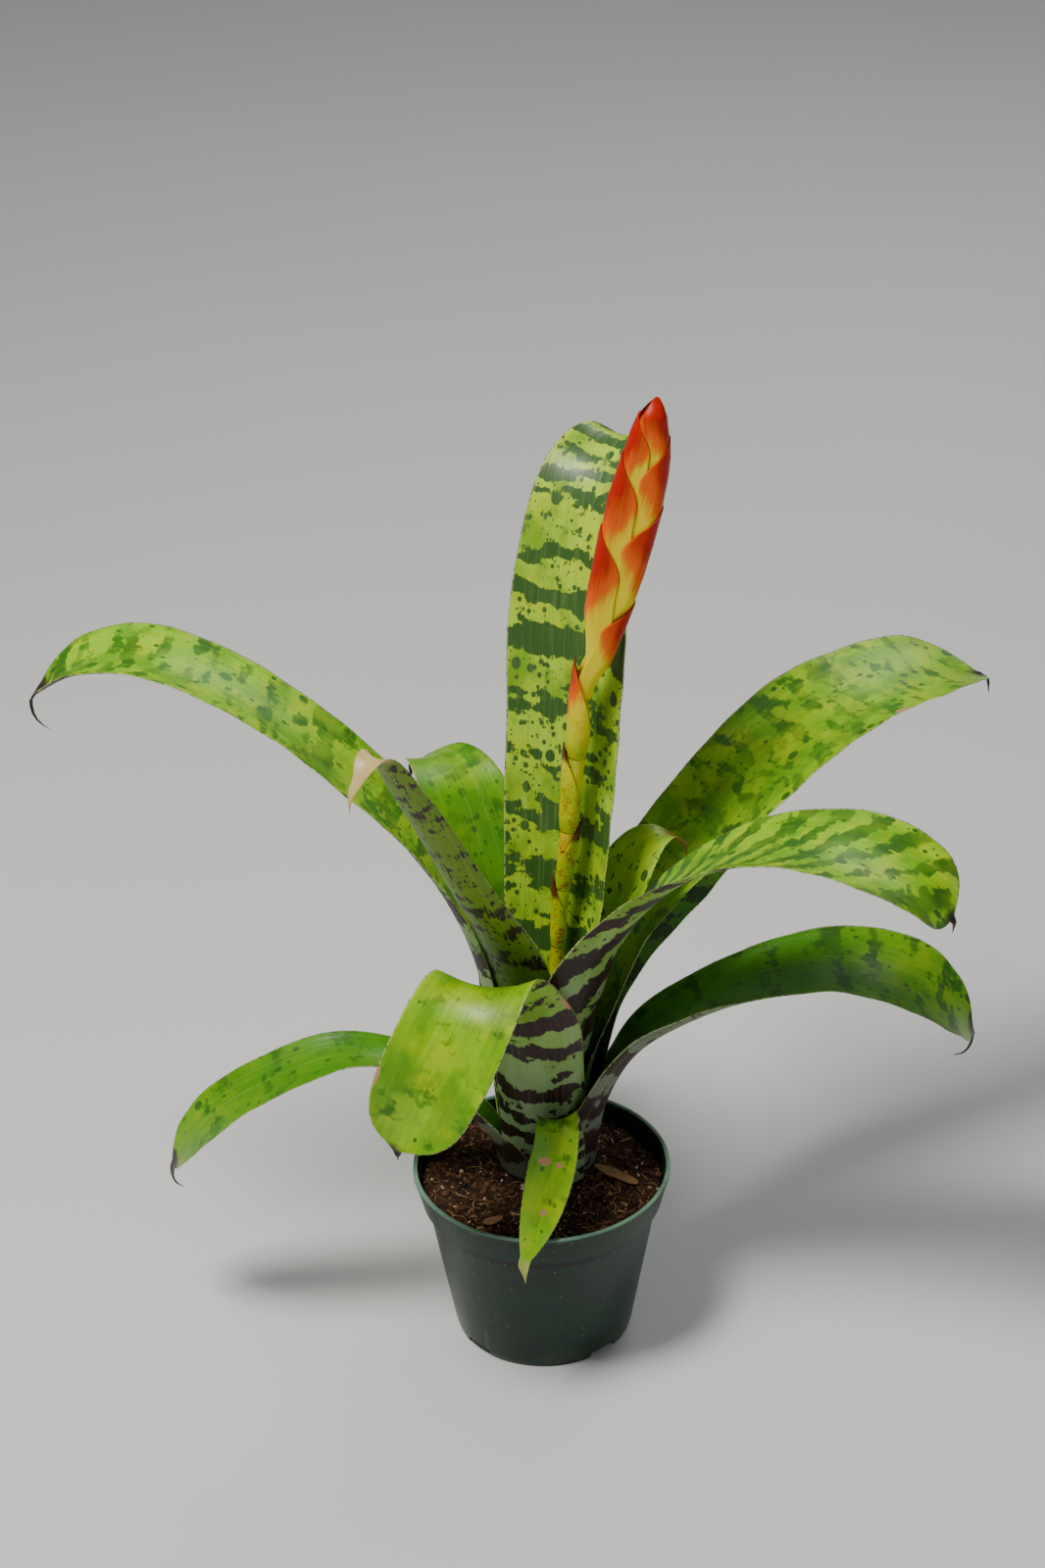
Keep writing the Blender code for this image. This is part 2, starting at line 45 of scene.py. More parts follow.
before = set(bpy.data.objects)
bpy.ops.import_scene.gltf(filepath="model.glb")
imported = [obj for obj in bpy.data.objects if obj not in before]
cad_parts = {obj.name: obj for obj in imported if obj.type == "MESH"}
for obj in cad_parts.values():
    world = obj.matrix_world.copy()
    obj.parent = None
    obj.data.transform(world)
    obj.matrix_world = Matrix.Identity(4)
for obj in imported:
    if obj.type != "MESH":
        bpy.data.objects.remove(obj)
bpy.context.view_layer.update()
MM = 0.001
BODY = "root"

POT_LOW, POT_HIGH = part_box("pot")
MIX_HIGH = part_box("potting_mix")[1]
CROWN_LOW, CROWN_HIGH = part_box("crown")
PLANT = np.array([(CROWN_LOW.x + CROWN_HIGH.x) / 2, (CROWN_LOW.y + CROWN_HIGH.y) / 2, 0]) / MM
MIX_BUMP = 0.8
MIX_LEVEL = MIX_HIGH.z / MM - MIX_BUMP

# ---- pot -------------------------------------------------------------------------------------
COLLAR_STEP = 2.2
RIM_LIP = 0.7
FOOT_HEIGHT = 3.0
FOOT_WIDTH = 2.4
FLOOR_TOP = 4.8
CENTRE_PAD_RADIUS = 6.0
FOOT_NOTCHES = 4
NOTCH_ANGLE = 20.0
FIRST_NOTCH_AZIMUTH = -49.5
DRAIN_HOLE_RADIUS = 4.0
DRAIN_HOLE_REACH = 30.0
POT_SLOPE = 0.1735
# the top of the mix, and the pit in it that holds the root plug
MIX_RADIUS = 53.0
PIT_RADIUS = 14.3
PIT_FLOOR = 57.7
# loose bits keep this far from the plant's axis
CROWN_CLEARANCE = 17.5

# ---- leaves ----------------------------------------------------------------------------------
# Each leaf: the way it points seen from above (0 is +X, 90 is +Y), and its midrib as
# (reach from the plant axis, height). They are listed from the inside of the rosette outwards.
# The hook carries the dried point on from the end of the midrib. The bands are places along
# the leaf, as shares of its length, with how strong the dark band is there. Veer is how far the
# tip is carried sideways, where along the leaf that begins, and how steeply it grows.
LEAVES = {
    "leaf_back_tall": {
        "azimuth": 58, "width": 58, "sheath": 90, "blade_curl": 35, "neck": 0.93, "neck_curl": 85,
        "veer": (13, 0.2, 1.6),
        "midrib": ((7.4, 98), (10.2, 130), (14, 180), (21, 235), (30, 300), (42, 355), (58, 387),
                   (80, 396), (102, 382)),
        "hook": ((106, 374), (106, 368)),
        "bands": ((0.14, 0.9), (0.26, 0.8), (0.335, 0.72), (0.415, 0.74), (0.485, 0.6),
                  (0.56, 0.64), (0.65, 1.1), (0.705, 0.98), (0.752, 0.74),
                  (0.785, 0.52), (0.823, 0.74), (0.85, 0.98), (0.878, 0.62), (0.91, 0.85),
                  (0.95, 0.8)),
        "pale": 0.75, "spots": 0.7, "comb": 0.4, "base": 0.1, "painted_band_sheen": (0.15, 0.24, 0.07),
    },
    "leaf_inner_young": {
        "azimuth": 44, "width": 36, "sheath": 90, "blade_curl": 45, "sheath_width": 26,
        "veer": (-24, 0.2, 1.6),
        "midrib": ((9, 96), (12.2, 130), (19.5, 172), (33, 208), (43, 227), (52, 231), (60, 226)),
        "hook": ((63, 221), (63, 217)),
        "bands": ((0.3, 0.4), (0.6, 0.45), (0.8, 0.3)), "dashes": 0.9, "spots": 0.2,
        "pale": 0.7, "base": 0.0, "tip_colour": (0.34, 0.17, 0.06), "tip": 0.95,
    },
    "leaf_inner_left": {
        "azimuth": -128, "width": 27, "sheath": 85, "neck_curl": 92, "blade_curl": 110,
        "neck": 1.5, "sheath_width": 42, "veer": (-8, 0.2, 1.6), "bluntness": 4,
        "midrib": ((10.5, 94), (14.9, 140), (28, 194), (50, 236), (70, 274), (86, 304), (98, 326),
                   (110, 318)),
        "hook": ((113.5, 313), (114, 308)),
        "bands": ((0.12, 0.9), (0.2, 0.8), (0.3, 0.55), (0.4, 0.62), (0.48, 0.6), (0.54, 0.62),
                  (0.66, 0.5), (0.8, 0.45)),
        "streaky": 0.8, "spots": 0.5, "olive": 0.8, "tip_colour": (0.58, 0.42, 0.16), "tip": 0.93,
    },
    "leaf_middle_right": {
        "azimuth": -36, "width": 56, "sheath": 85, "neck_curl": 85, "blade_curl": 50,
        "neck": 1.05, "sheath_width": 54, "veer": (54, 0.2, 1.6), "bluntness": 8,
        "midrib": ((12.8, 92), (18.8, 140), (30, 190), (54, 228), (88, 253), (124, 260), (156, 250),
                   (168, 234)),
        "hook": ((169, 231), (168.5, 227)),
        "bands": ((0.07, 0.8), (0.14, 0.75), (0.235, 0.85), (0.305, 1.0), (0.365, 1.0),
                  (0.415, 0.9), (0.465, 0.8), (0.52, 0.8), (0.59, 0.85), (0.655, 0.9),
                  (0.715, 0.9), (0.775, 0.85), (0.83, 0.8), (0.885, 0.7), (0.94, 0.6)),
        "under_bands": ((0.05, 0.8), (0.13, 0.9), (0.225, 1.0), (0.325, 1.1), (0.43, 1.0),
                        (0.54, 0.9), (0.65, 0.8), (0.76, 0.7), (0.87, 0.6)),
        "slant": -0.09, "spots": 0.0, "soft": 0.45, "comb": 0.4, "tip": 0.99,
    },
    "leaf_upper_right": {
        "azimuth": 32, "width": 64, "sheath": 75, "blade_curl": 40, "sheath_width": 44,
        "neck": 0.72, "bluntness": 7,
        "midrib": ((14.6, 90), (22.6, 138), (46, 184), (82, 218), (122, 246), (160, 260),
                   (205, 260), (235, 250)),
        "hook": ((240, 245), (241, 238)),
        "bands": ((0.08, 0.6), (0.16, 0.6), (0.24, 0.55), (0.33, 0.6), (0.42, 0.6), (0.49, 0.7),
                  (0.555, 0.6), (0.6, 0.75), (0.665, 0.85), (0.72, 0.7), (0.775, 0.75),
                  (0.84, 0.55), (0.89, 0.5), (0.95, 0.35)),
        "spots": 0.05, "soft": 0.8, "comb": 0.5, "mottle": 0.5, "tip": 0.985, "base": 0.1,
        "scars": ((-0.93, 0.785, 0.07, 0.012),),
    },
    "leaf_upper_left": {
        "azimuth": 172, "width": 48, "sheath": 75, "sheath_width": 48, "neck_curl": 120,
        "bluntness": 9,
        "midrib": ((16.1, 88), (22, 135), (32, 190), (54, 236), (86, 273), (122, 302), (162, 320),
                   (192, 318), (214, 303)),
        "hook": ((217, 296), (215, 289), (210, 285)),
        "bands": ((0.08, 0.8), (0.15, 0.9), (0.22, 0.85), (0.29, 0.95), (0.36, 0.85),
                  (0.44, 0.9), (0.51, 0.95), (0.62, 1.0), (0.685, 0.7), (0.74, 0.6),
                  (0.79, 0.55), (0.845, 0.6), (0.88, 0.95), (0.93, 0.65)),
        "spots": 0.05, "soft": 0.7, "comb": 0.45, "mottle": 0.5, "tip": 0.98, "base": 0.3,
    },
    "leaf_back_left": {
        "azimuth": 120, "width": 46, "sheath": 70, "sheath_width": 50,
        "midrib": ((17.7, 86), (25.4, 130), (40, 180), (56, 213), (73, 234), (92, 238), (112, 226)),
        "hook": ((116, 219), (116, 213)),
        "bands": ((0.1, 0.8), (0.2, 0.8), (0.3, 0.7), (0.42, 0.6), (0.55, 0.55), (0.7, 0.5),
                  (0.82, 0.6)),
        "green": 0.75, "spots": 0.0, "soft": 0.8,
    },
    "leaf_front_left": {
        "azimuth": -100, "width": 47, "sheath": 70, "neck_curl": 90, "blade_curl": 40,
        "neck": 0.9, "sheath_width": 46, "veer": (-50, 0.4, 1.05), "bluntness": 9,
        "midrib": ((19, 81), (21.5, 95), (25.5, 133), (33, 172), (47, 197), (65, 191), (77, 164),
                   (83, 136)),
        "hook": ((83.5, 133.5), (83.6, 131)),
        "bands": ((0.06, 0.5), (0.12, 0.8), (0.18, 0.85), (0.24, 0.85), (0.31, 0.5),
                  (0.37, 0.92), (0.437, 1.0), (0.49, 0.45), (0.54, 0.6), (0.6, 0.6),
                  (0.7, 0.35), (0.86, 0.42)),
        "spots": -0.22, "soft": 0.9, "tip": 0.992, "mottle": 0.2,
        "under_bands": ((0.05, 0.6), (0.11, 0.85), (0.17, 0.85), (0.24, 1.05), (0.30, 0.5),
                        (0.365, 1.1), (0.437, 1.15), (0.49, 0.5), (0.55, 0.5), (0.7, 0.3)),
        "scars": ((0.96, 0.46, 0.07, 0.02), (-0.97, 0.87, 0.05, 0.02)),
    },
    "leaf_back_right": {
        "azimuth": 46, "width": 44, "sheath": 60, "blade_curl": 50, "sheath_width": 38,
        "midrib": ((19, 79), (21, 95), (24.5, 120), (36, 147), (62, 171), (100, 186), (140, 192)),
        "hook": ((146, 187), (149, 181)),
        "bands": ((0.1, 0.8), (0.22, 0.9), (0.34, 0.9), (0.46, 0.8), (0.58, 0.8), (0.7, 0.7),
                  (0.82, 0.7)),
        "green": 0.7, "spots": 0.5,
    },
    "leaf_low_right": {
        "azimuth": -16, "width": 54, "sheath": 55, "blade_curl": 50, "sheath_width": 50,
        "neck": 0.76, "neck_curl": 120, "bluntness": 5, "veer": (64, 0.15, 1.3),
        "midrib": ((21, 78), (23, 94), (27, 113), (39, 137), (60, 154), (91, 169), (121, 174),
                   (149, 165), (168, 148), (177, 132)),
        "hook": ((177, 126), (174, 120), (169, 118)),
        "bands": ((0.08, 0.8), (0.16, 0.9), (0.26, 0.85), (0.42, 0.45), (0.56, 0.5), (0.685, 0.66),
                  (0.75, 0.64), (0.83, 0.55), (0.9, 0.6)),
        "green": 0.85, "spots": 0.1, "soft": 0.4, "plum": 0.8, "tip": 0.98,
    },
    "leaf_low_left": {
        "azimuth": -160, "width": 31, "sheath": 50, "blade_curl": 50, "sheath_width": 42,
        "neck": 0.95, "neck_curl": 110, "bluntness": 4.5, "veer": (-57, 0.15, 1.3),
        "midrib": ((21.5, 77), (24.5, 90), (31, 103), (44, 121), (66, 138), (90, 142), (112, 133),
                   (135, 116), (150, 95), (157, 77)),
        "hook": ((157, 69), (153, 64)),
        "bands": ((0.1, 0.8), (0.2, 0.8), (0.34, 0.6), (0.5, 0.45), (0.65, 0.5), (0.8, 0.5)),
        "green": 0.8, "spots": 0.0, "soft": 0.6, "plum": 0.8,
    },
    "leaf_low_back": {
        "azimuth": 98, "width": 40, "sheath": 50, "blade_curl": 50, "sheath_width": 44,
        "midrib": ((24, 78), (29.6, 92), (40, 112), (58, 132), (86, 146), (112, 140), (130, 120),
                   (138, 98)),
        "hook": ((138, 91), (134, 86)),
        "bands": ((0.1, 0.8), (0.22, 0.9), (0.34, 0.8), (0.47, 0.7), (0.6, 0.65), (0.72, 0.6),
                  (0.86, 0.55)),
        "green": 0.6, "spots": 0.4,
    },
    "leaf_front_small": {
        "azimuth": -80, "width": 22, "sheath": 40, "blade_curl": 50, "veer": (-25, 0.3, 1.5),
        "midrib": ((22.8, 77), (28, 98), (33, 116), (41, 126), (50, 120), (58, 105), (65, 92),
                   (71, 82), (74, 77)),
        "hook": ((76.5, 73), (78, 70)),
        "bands": ((0.08, 0.7), (0.16, 0.8), (0.24, 0.8), (0.32, 0.9), (0.4, 0.85), (0.48, 0.7),
                  (0.6, 0.35), (0.75, 0.4)),
        "spots": -0.1, "soft": 0.7,
        "scars": ((-0.35, 0.63, 0.3, 0.016), (0.3, 0.635, 0.16, 0.012), (0.15, 0.81, 0.16, 0.014)),
        "tip_colour": (0.40, 0.44, 0.10), "tip": 0.985,
    },
}
# the round spots: how close they lie across and along the blade (per cm), how many of them show,
# their least radius and how much it varies
SPOT_SIZES = (
    (1.6, 1.25, 0.50, 0.16, 0.26), (2.9, 2.4, 0.62, 0.10, 0.24), (6.6, 4.6, 0.34, 0.08, 0.22),
)
LEAF_STATIONS = 96
LEAF_COLUMNS = 25

# ---- flower spike ----------------------------------------------------------------------------
# places on the stalk's middle line, measured from the middle of the pot's foot
STALK_LINE = ((3.4, 12.4, 91.3), (5, 13.5, 130), (9.5, 15.5, 195), (13, 17, 234), (19, 19, 289),
              (23, 20, 315), (32, 21, 349), (40, 21.5, 383), (46.5, 22, 411), (51.5, 22.5, 442))
STALK_SPIKE_RADIUS = 1.7
STALK_SPIKE_SHARE = 0.61
# clasping bracts of the bare stalk: foot and tip along the stalk, the side of the tip, and how
# far the tip stands out
STALK_BRACTS = {
    "stalk_bract_1": (0.27, 0.37, 180, 1.2), "stalk_bract_2": (0.35, 0.45, 0, 1.3),
    "stalk_bract_3": (0.43, 0.55, 180, 1.7), "stalk_bract_4": (0.53, 0.66, 180, 3.2),
}
# how red and how dry each of them is, from the lowest up
STALK_BRACT_TINTS = ((-2.1, 0.75), (-2.1, 0.7), (-1.6, 0.5), (-0.9, 0.25))
SPIKE_REDNESS = -0.72
# flower bracts: foot and tip along the stalk, side, and the tip of the bract below on that side
SPIKE_BRACTS = {
    "spike_bract_1": (0.610, 0.745, 0, 0.0), "spike_bract_2": (0.645, 0.835, 180, 0.0),
    "spike_bract_3": (0.690, 0.870, 0, 0.745), "spike_bract_4": (0.735, 0.930, 180, 0.835),
    "spike_bract_5": (0.785, 0.955, 0, 0.870), "spike_bract_6": (0.840, 0.982, 180, 0.930),
    "spike_bract_7": (0.885, 1.000, 0, 0.955),
}
# outline of the spike: half width at places along the stalk
SPIKE_OUTLINE = ((0.60, 4.2), (0.66, 7.6), (0.75, 10.4), (0.82, 11.5), (0.87, 11.6), (0.93, 9.8),
                 (0.955, 8.2), (0.977, 6.0), (0.99, 3.6), (1.0, 1.2))
KEEL_ROUNDING = 4.5
# bark splinters: x and y of the middle, length, width and turn
BARK_CHIPS = {
    "bark_chip_long": (33.0, -2.0, 24.0, 6.0, -38), "bark_chip_short": (-22.0, -34.0, 9.0, 5.0, 25),
}

# ---- stage -----------------------------------------------------------------------------------
# each light: place and target in metres, size in metres, watts and tint
LIGHTS = {
    "key_softbox": ((-0.50, -0.32, 1.50), (0.02, 0.0, 0.2), (0.42, 0.42), 22.0, (1.0, 0.98, 0.94)),
    "fill_softbox": ((1.4, -1.3, 0.9), (0.0, 0.0, 0.2), (1.2, 1.2), 3.5, (0.93, 0.96, 1.0)),
    "rim_softbox": ((0.6, 1.2, 1.3), (0.0, 0.0, 0.25), (0.9, 0.6), 6.0, (1.0, 1.0, 1.0)),
}
AIR_STRENGTH = 0.16
FLOOR_RADIUS = 6000
FLOOR_SIDES = 96
CAMERA_PLACE = (-0.005, -1.330, 1.055)
CAMERA_TILT = 30.31
CAMERA_ROLL = -1.18
CAMERA_LENS = 84.98


# ---- settings --------------------------------------------------------------------------------
def length(name, description, default, low=0.0, high=1.0):
    return bpy.props.FloatProperty(name=name, description=description, default=default, min=low,
                                   max=high, subtype="DISTANCE", unit="LENGTH", precision=4)


def colour(name, description, default):
    return bpy.props.FloatVectorProperty(name=name, description=description, default=default,
                                         size=3, min=0.0, max=1.0, subtype="COLOR")


def share(name, description, default, high=1.0):
    return bpy.props.FloatProperty(name=name, description=description, default=default, min=0.0,
                                   max=high, subtype="FACTOR")


def count(name, description, default):
    return bpy.props.IntProperty(name=name, description=description, default=default, min=0)


class PotSettings(bpy.types.PropertyGroup):
    """Sizes and colours of the nursery pot."""

    rim_radius: length("Rim radius", "Outer radius of the rim", POT_HIGH.x)
    height: length("Height", "Height of the pot", POT_HIGH.z)
    base_radius: length("Base radius", "Outer radius at the foot", 0.0394)
    wall: length("Wall", "Thickness of the wall", 0.0013)
    collar_height: length("Collar height", "Height of the band below the rim", 0.015)
    green: colour("Plastic", "Colour of the moulded plastic", (0.003, 0.020, 0.010))
    # this colour serves the real scuffs and also the painted highlight along the rim's top edge
    wear_and_rim_highlight: colour("Worn edge", "Colour of the scuffed lip", (0.16, 0.30, 0.20))
    dust: colour("Dust", "Colour of the dust and dried soil", (0.17, 0.14, 0.10))


class MixSettings(bpy.types.PropertyGroup):
    """The potting mix and what lies on it."""

    peat: colour("Peat", "Darkest colour of the mix", (0.008, 0.004, 0.002))
    crumb: colour("Crumb", "Middle colour of the mix", (0.060, 0.024, 0.010))
    tan: colour("Tan", "Colour of the light grains and fibres", (0.52, 0.30, 0.12))
    grit: colour("Grit", "Colour of the pale grit", (0.80, 0.68, 0.48))
    crumbs: count("Crumbs", "How many crumbs lie on the mix", 1300)
    fibres: count("Fibres", "How many fibres lie on the mix", 300)
    grains: count("Grains", "How many pale grains lie on the mix", 260)


class LeafSettings(bpy.types.PropertyGroup):
    """Thickness and colours of the leaves."""

    thickness: length("Thickness", "Thickness at the middle of a leaf", 0.001)
    lime: colour("Lime", "Light colour of the upper face", (0.33, 0.66, 0.0))
    pale: colour("Pale lime", "Light colour of the palest leaves", (0.60, 0.84, 0.05))
    green: colour("Green", "Colour of the plain green leaves", (0.045, 0.26, 0.002))
    band: colour("Band", "Dark bands of the upper face", (0.020, 0.082, 0.008))
    maroon: colour("Maroon", "Dark bands of the underside", (0.016, 0.003, 0.005))
    under: colour("Underside", "Light colour of the underside", (0.19, 0.38, 0.010))
    bloom: colour("Bloom", "Silvery bloom of the sheaths", (0.33, 0.44, 0.29))
    margin: colour("Margin", "Thin pale line at the margin", (0.60, 0.66, 0.22))
    dry: colour("Dry tip", "Dried point of a leaf", (0.030, 0.014, 0.010))
    scar: colour("Scar", "Healed scars and dry spots", (0.58, 0.30, 0.15))


class SpikeSettings(bpy.types.PropertyGroup):
    """The flower stalk and its bracts."""

    stalk_radius: length("Stalk radius", "Radius of the stalk near the crown", 0.0030)
    joint_radius: length("Joint radius", "Radius of the stalk at its bracts", 0.0039)
    red: colour("Red", "Colour of the keels", (0.50, 0.010, 0.0))
    orange: colour("Orange", "Colour of the cheeks", (0.90, 0.13, 0.0))
    yellow: colour("Yellow", "Colour of the margins and feet", (0.95, 0.76, 0.0))
    stalk: colour("Stalk", "Colour of the stalk", (0.48, 0.58, 0.0))
    speckle: colour("Speckle", "Colour of the speckles and dried tips", (0.22, 0.030, 0.008))


class StageSettings(bpy.types.PropertyGroup):
    """Floor and light."""

    floor: colour("Floor", "Colour of the plain floor", (0.82, 0.81, 0.80))
    light: share("Light", "Strength of the studio light", 1.0, 4.0)


# ---- lines and meshes ------------------------------------------------------------------------
def ramp(value, start, end):
    """0 up to start, 1 from end on, and an even S between."""
    part = np.clip((value - start) / (end - start), 0, 1)
    return part * part * (3 - 2 * part)


def unit(vectors):
    return vectors / np.linalg.norm(vectors, axis=-1, keepdims=True)


def curve_through(points, stations, span=None):
    """A smooth line through the points, read at shares of the length of its first span points."""
    knots = np.array(points, float)
    span = len(knots) if span is None else span
    knots = np.vstack([2 * knots[0] - knots[1], knots, 2 * knots[-1] - knots[-2]])
    line = []
    for a, b, c, d in zip(knots, knots[1:], knots[2:], knots[3:]):
        for t in np.linspace(0, 1, 24, endpoint=False):
            line.append(0.5 * (2 * b + (c - a) * t + (2 * a - 5 * b + 4 * c - d) * t ** 2
                               + (3 * b - a - 3 * c + d) * t ** 3))
    line = np.array(line + [knots[-2]])
    steps = np.linalg.norm(np.diff(line, axis=0), axis=1)
    along = np.concatenate([[0], np.cumsum(steps)])
    whole = along[24 * (span - 1)]
    if stations is None:
        stations = np.linspace(0, along[-1] / whole, 321)
    wanted = np.asarray(stations) * whole
    read = [np.interp(wanted, along, line[:, axis]) for axis in range(line.shape[1])]
    return np.stack(read, axis=1), whole, stations


def add_piece(name, points, faces, materials, uvs=None, face_materials=None, smooth=True):
    """One named object from points in millimetres. A UV map is given as one pair per point."""
    mesh = bpy.data.meshes.new(name)
    mesh.from_pydata((np.asarray(points, float) * MM).tolist(), [], faces)
    for map_name, pairs in (uvs or {}).items():
        corner = np.empty(len(mesh.loops), np.int32)
        mesh.loops.foreach_get("vertex_index", corner)
        layer = mesh.uv_layers.new(name=map_name)
        layer.data.foreach_set("uv", np.asarray(pairs, np.float32)[corner].ravel())
    for material in materials:
        mesh.materials.append(material)
    if face_materials is not None:
        mesh.polygons.foreach_set("material_index", np.asarray(face_materials, np.int32))
    mesh.polygons.foreach_set("use_smooth", [smooth] * len(mesh.polygons))
    mesh.update()
    obj = bpy.data.objects.new(name, mesh)
    bpy.context.scene.collection.objects.link(obj)
    return obj


def place(piece, slot, *nodes):
    """Fastens a piece to the body and hides the imported parts it stands for; the slot is not used.
    """
    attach(piece, BODY)
    if nodes:
        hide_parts(*nodes)
    return piece


def closed_sheet(name, middle, normals, thickness, materials, uvs):
    """A thin sheet that closes at its edge: upper face first, then the face under it."""
    rows, columns = middle.shape[:2]
    offset = normals * thickness[..., None] / 2
    index = np.arange(rows * columns).reshape(rows, columns)
    under = index.copy()
    inner = (rows - 2) * (columns - 2)
    under[1:-1, 1:-1] = rows * columns + np.arange(inner).reshape(rows - 2, columns - 2)
    rim = np.ones((rows, columns), bool)
    rim[1:-1, 1:-1] = False
    upper = np.where(rim[..., None], middle, middle + offset)
    points = np.vstack([upper.reshape(-1, 3), (middle - offset)[1:-1, 1:-1].reshape(-1, 3)])
    a, b, c, d = index[:-1, :-1], index[:-1, 1:], index[1:, 1:], index[1:, :-1]
    top = np.stack([a, b, c, d], axis=-1).reshape(-1, 4)
    a, b, c, d = under[:-1, :-1], under[:-1, 1:], under[1:, 1:], under[1:, :-1]
    bottom = np.stack([a, d, c, b], axis=-1).reshape(-1, 4)
    turn = np.cross(middle[0, 1] - middle[0, 0], middle[1, 0] - middle[0, 0]) @ normals[0, 0]
    faces = np.vstack([top, bottom])
    if turn < 0:
        faces = faces[:, ::-1]
    marks = [0] * len(top) + [len(materials) - 1] * len(bottom)
    pairs = {key: np.vstack([grid.reshape(-1, 2), grid[1:-1, 1:-1].reshape(-1, 2)])
             for key, grid in uvs.items()}
    return add_piece(name, points, faces.tolist(), materials, pairs, marks)


def tube_parts(line, radii, sides, right=None, back=None):
    """Points and faces of a tube round a line, closed at both ends with a point."""
    line = np.asarray(line, float)
    forward = unit(np.gradient(line, axis=0))
    if right is None:
        guide = np.array([0, 0, 1.0]) if abs(forward[0, 2]) < 0.9 else np.array([1.0, 0, 0])
        right = unit(np.cross(forward, guide))
        back = np.cross(right, forward)
    angles = tau * np.arange(sides) / sides
    rings = (line[:, None] + np.asarray(radii)[:, None, None]
             * (np.cos(angles)[None, :, None] * right[:, None]
                + np.sin(angles)[None, :, None] * back[:, None]))
    points = np.vstack([rings.reshape(-1, 3), line[0], line[-1]])
    faces = []
    for row in range(len(line) - 1):
        for side in range(sides):
            after = (side + 1) % sides
            low, high = row * sides, (row + 1) * sides
            faces.append((low + side, low + after, high + after, high + side))
    start, end, last = len(points) - 2, len(points) - 1, (len(line) - 1) * sides
    for side in range(sides):
        after = (side + 1) % sides
        faces.append((start, after, side))
        faces.append((end, last + side, last + after))
    return points, faces


def turned_parts(profile, columns, centre=(0.0, 0.0), adjust=None):
    """Points and faces of a solid of revolution whose profile runs from axis to axis."""
    rings = profile[1:-1]
    points = [(*centre, profile[0][1]), (*centre, profile[-1][1])]
    for row, (radius, height) in enumerate(rings):
        for column in range(columns):
            angle = tau * column / columns
            x, y, z = adjust(row, radius, height, angle) if adjust else (0, 0, 0)
            points.append((centre[0] + radius * cos(angle) + x,
                           centre[1] + radius * sin(angle) + y, height + z))
    faces = []
    last = 2 + (len(rings) - 1) * columns
    for column in range(columns):
        after = (column + 1) % columns
        faces.append((0, 2 + after, 2 + column))
        faces.append((1, last + column, last + after))
        for row in range(len(rings) - 1):
            low = 2 + row * columns
            faces.append((low + column, low + after, low + columns + after,
                          low + columns + column))
    return points, faces


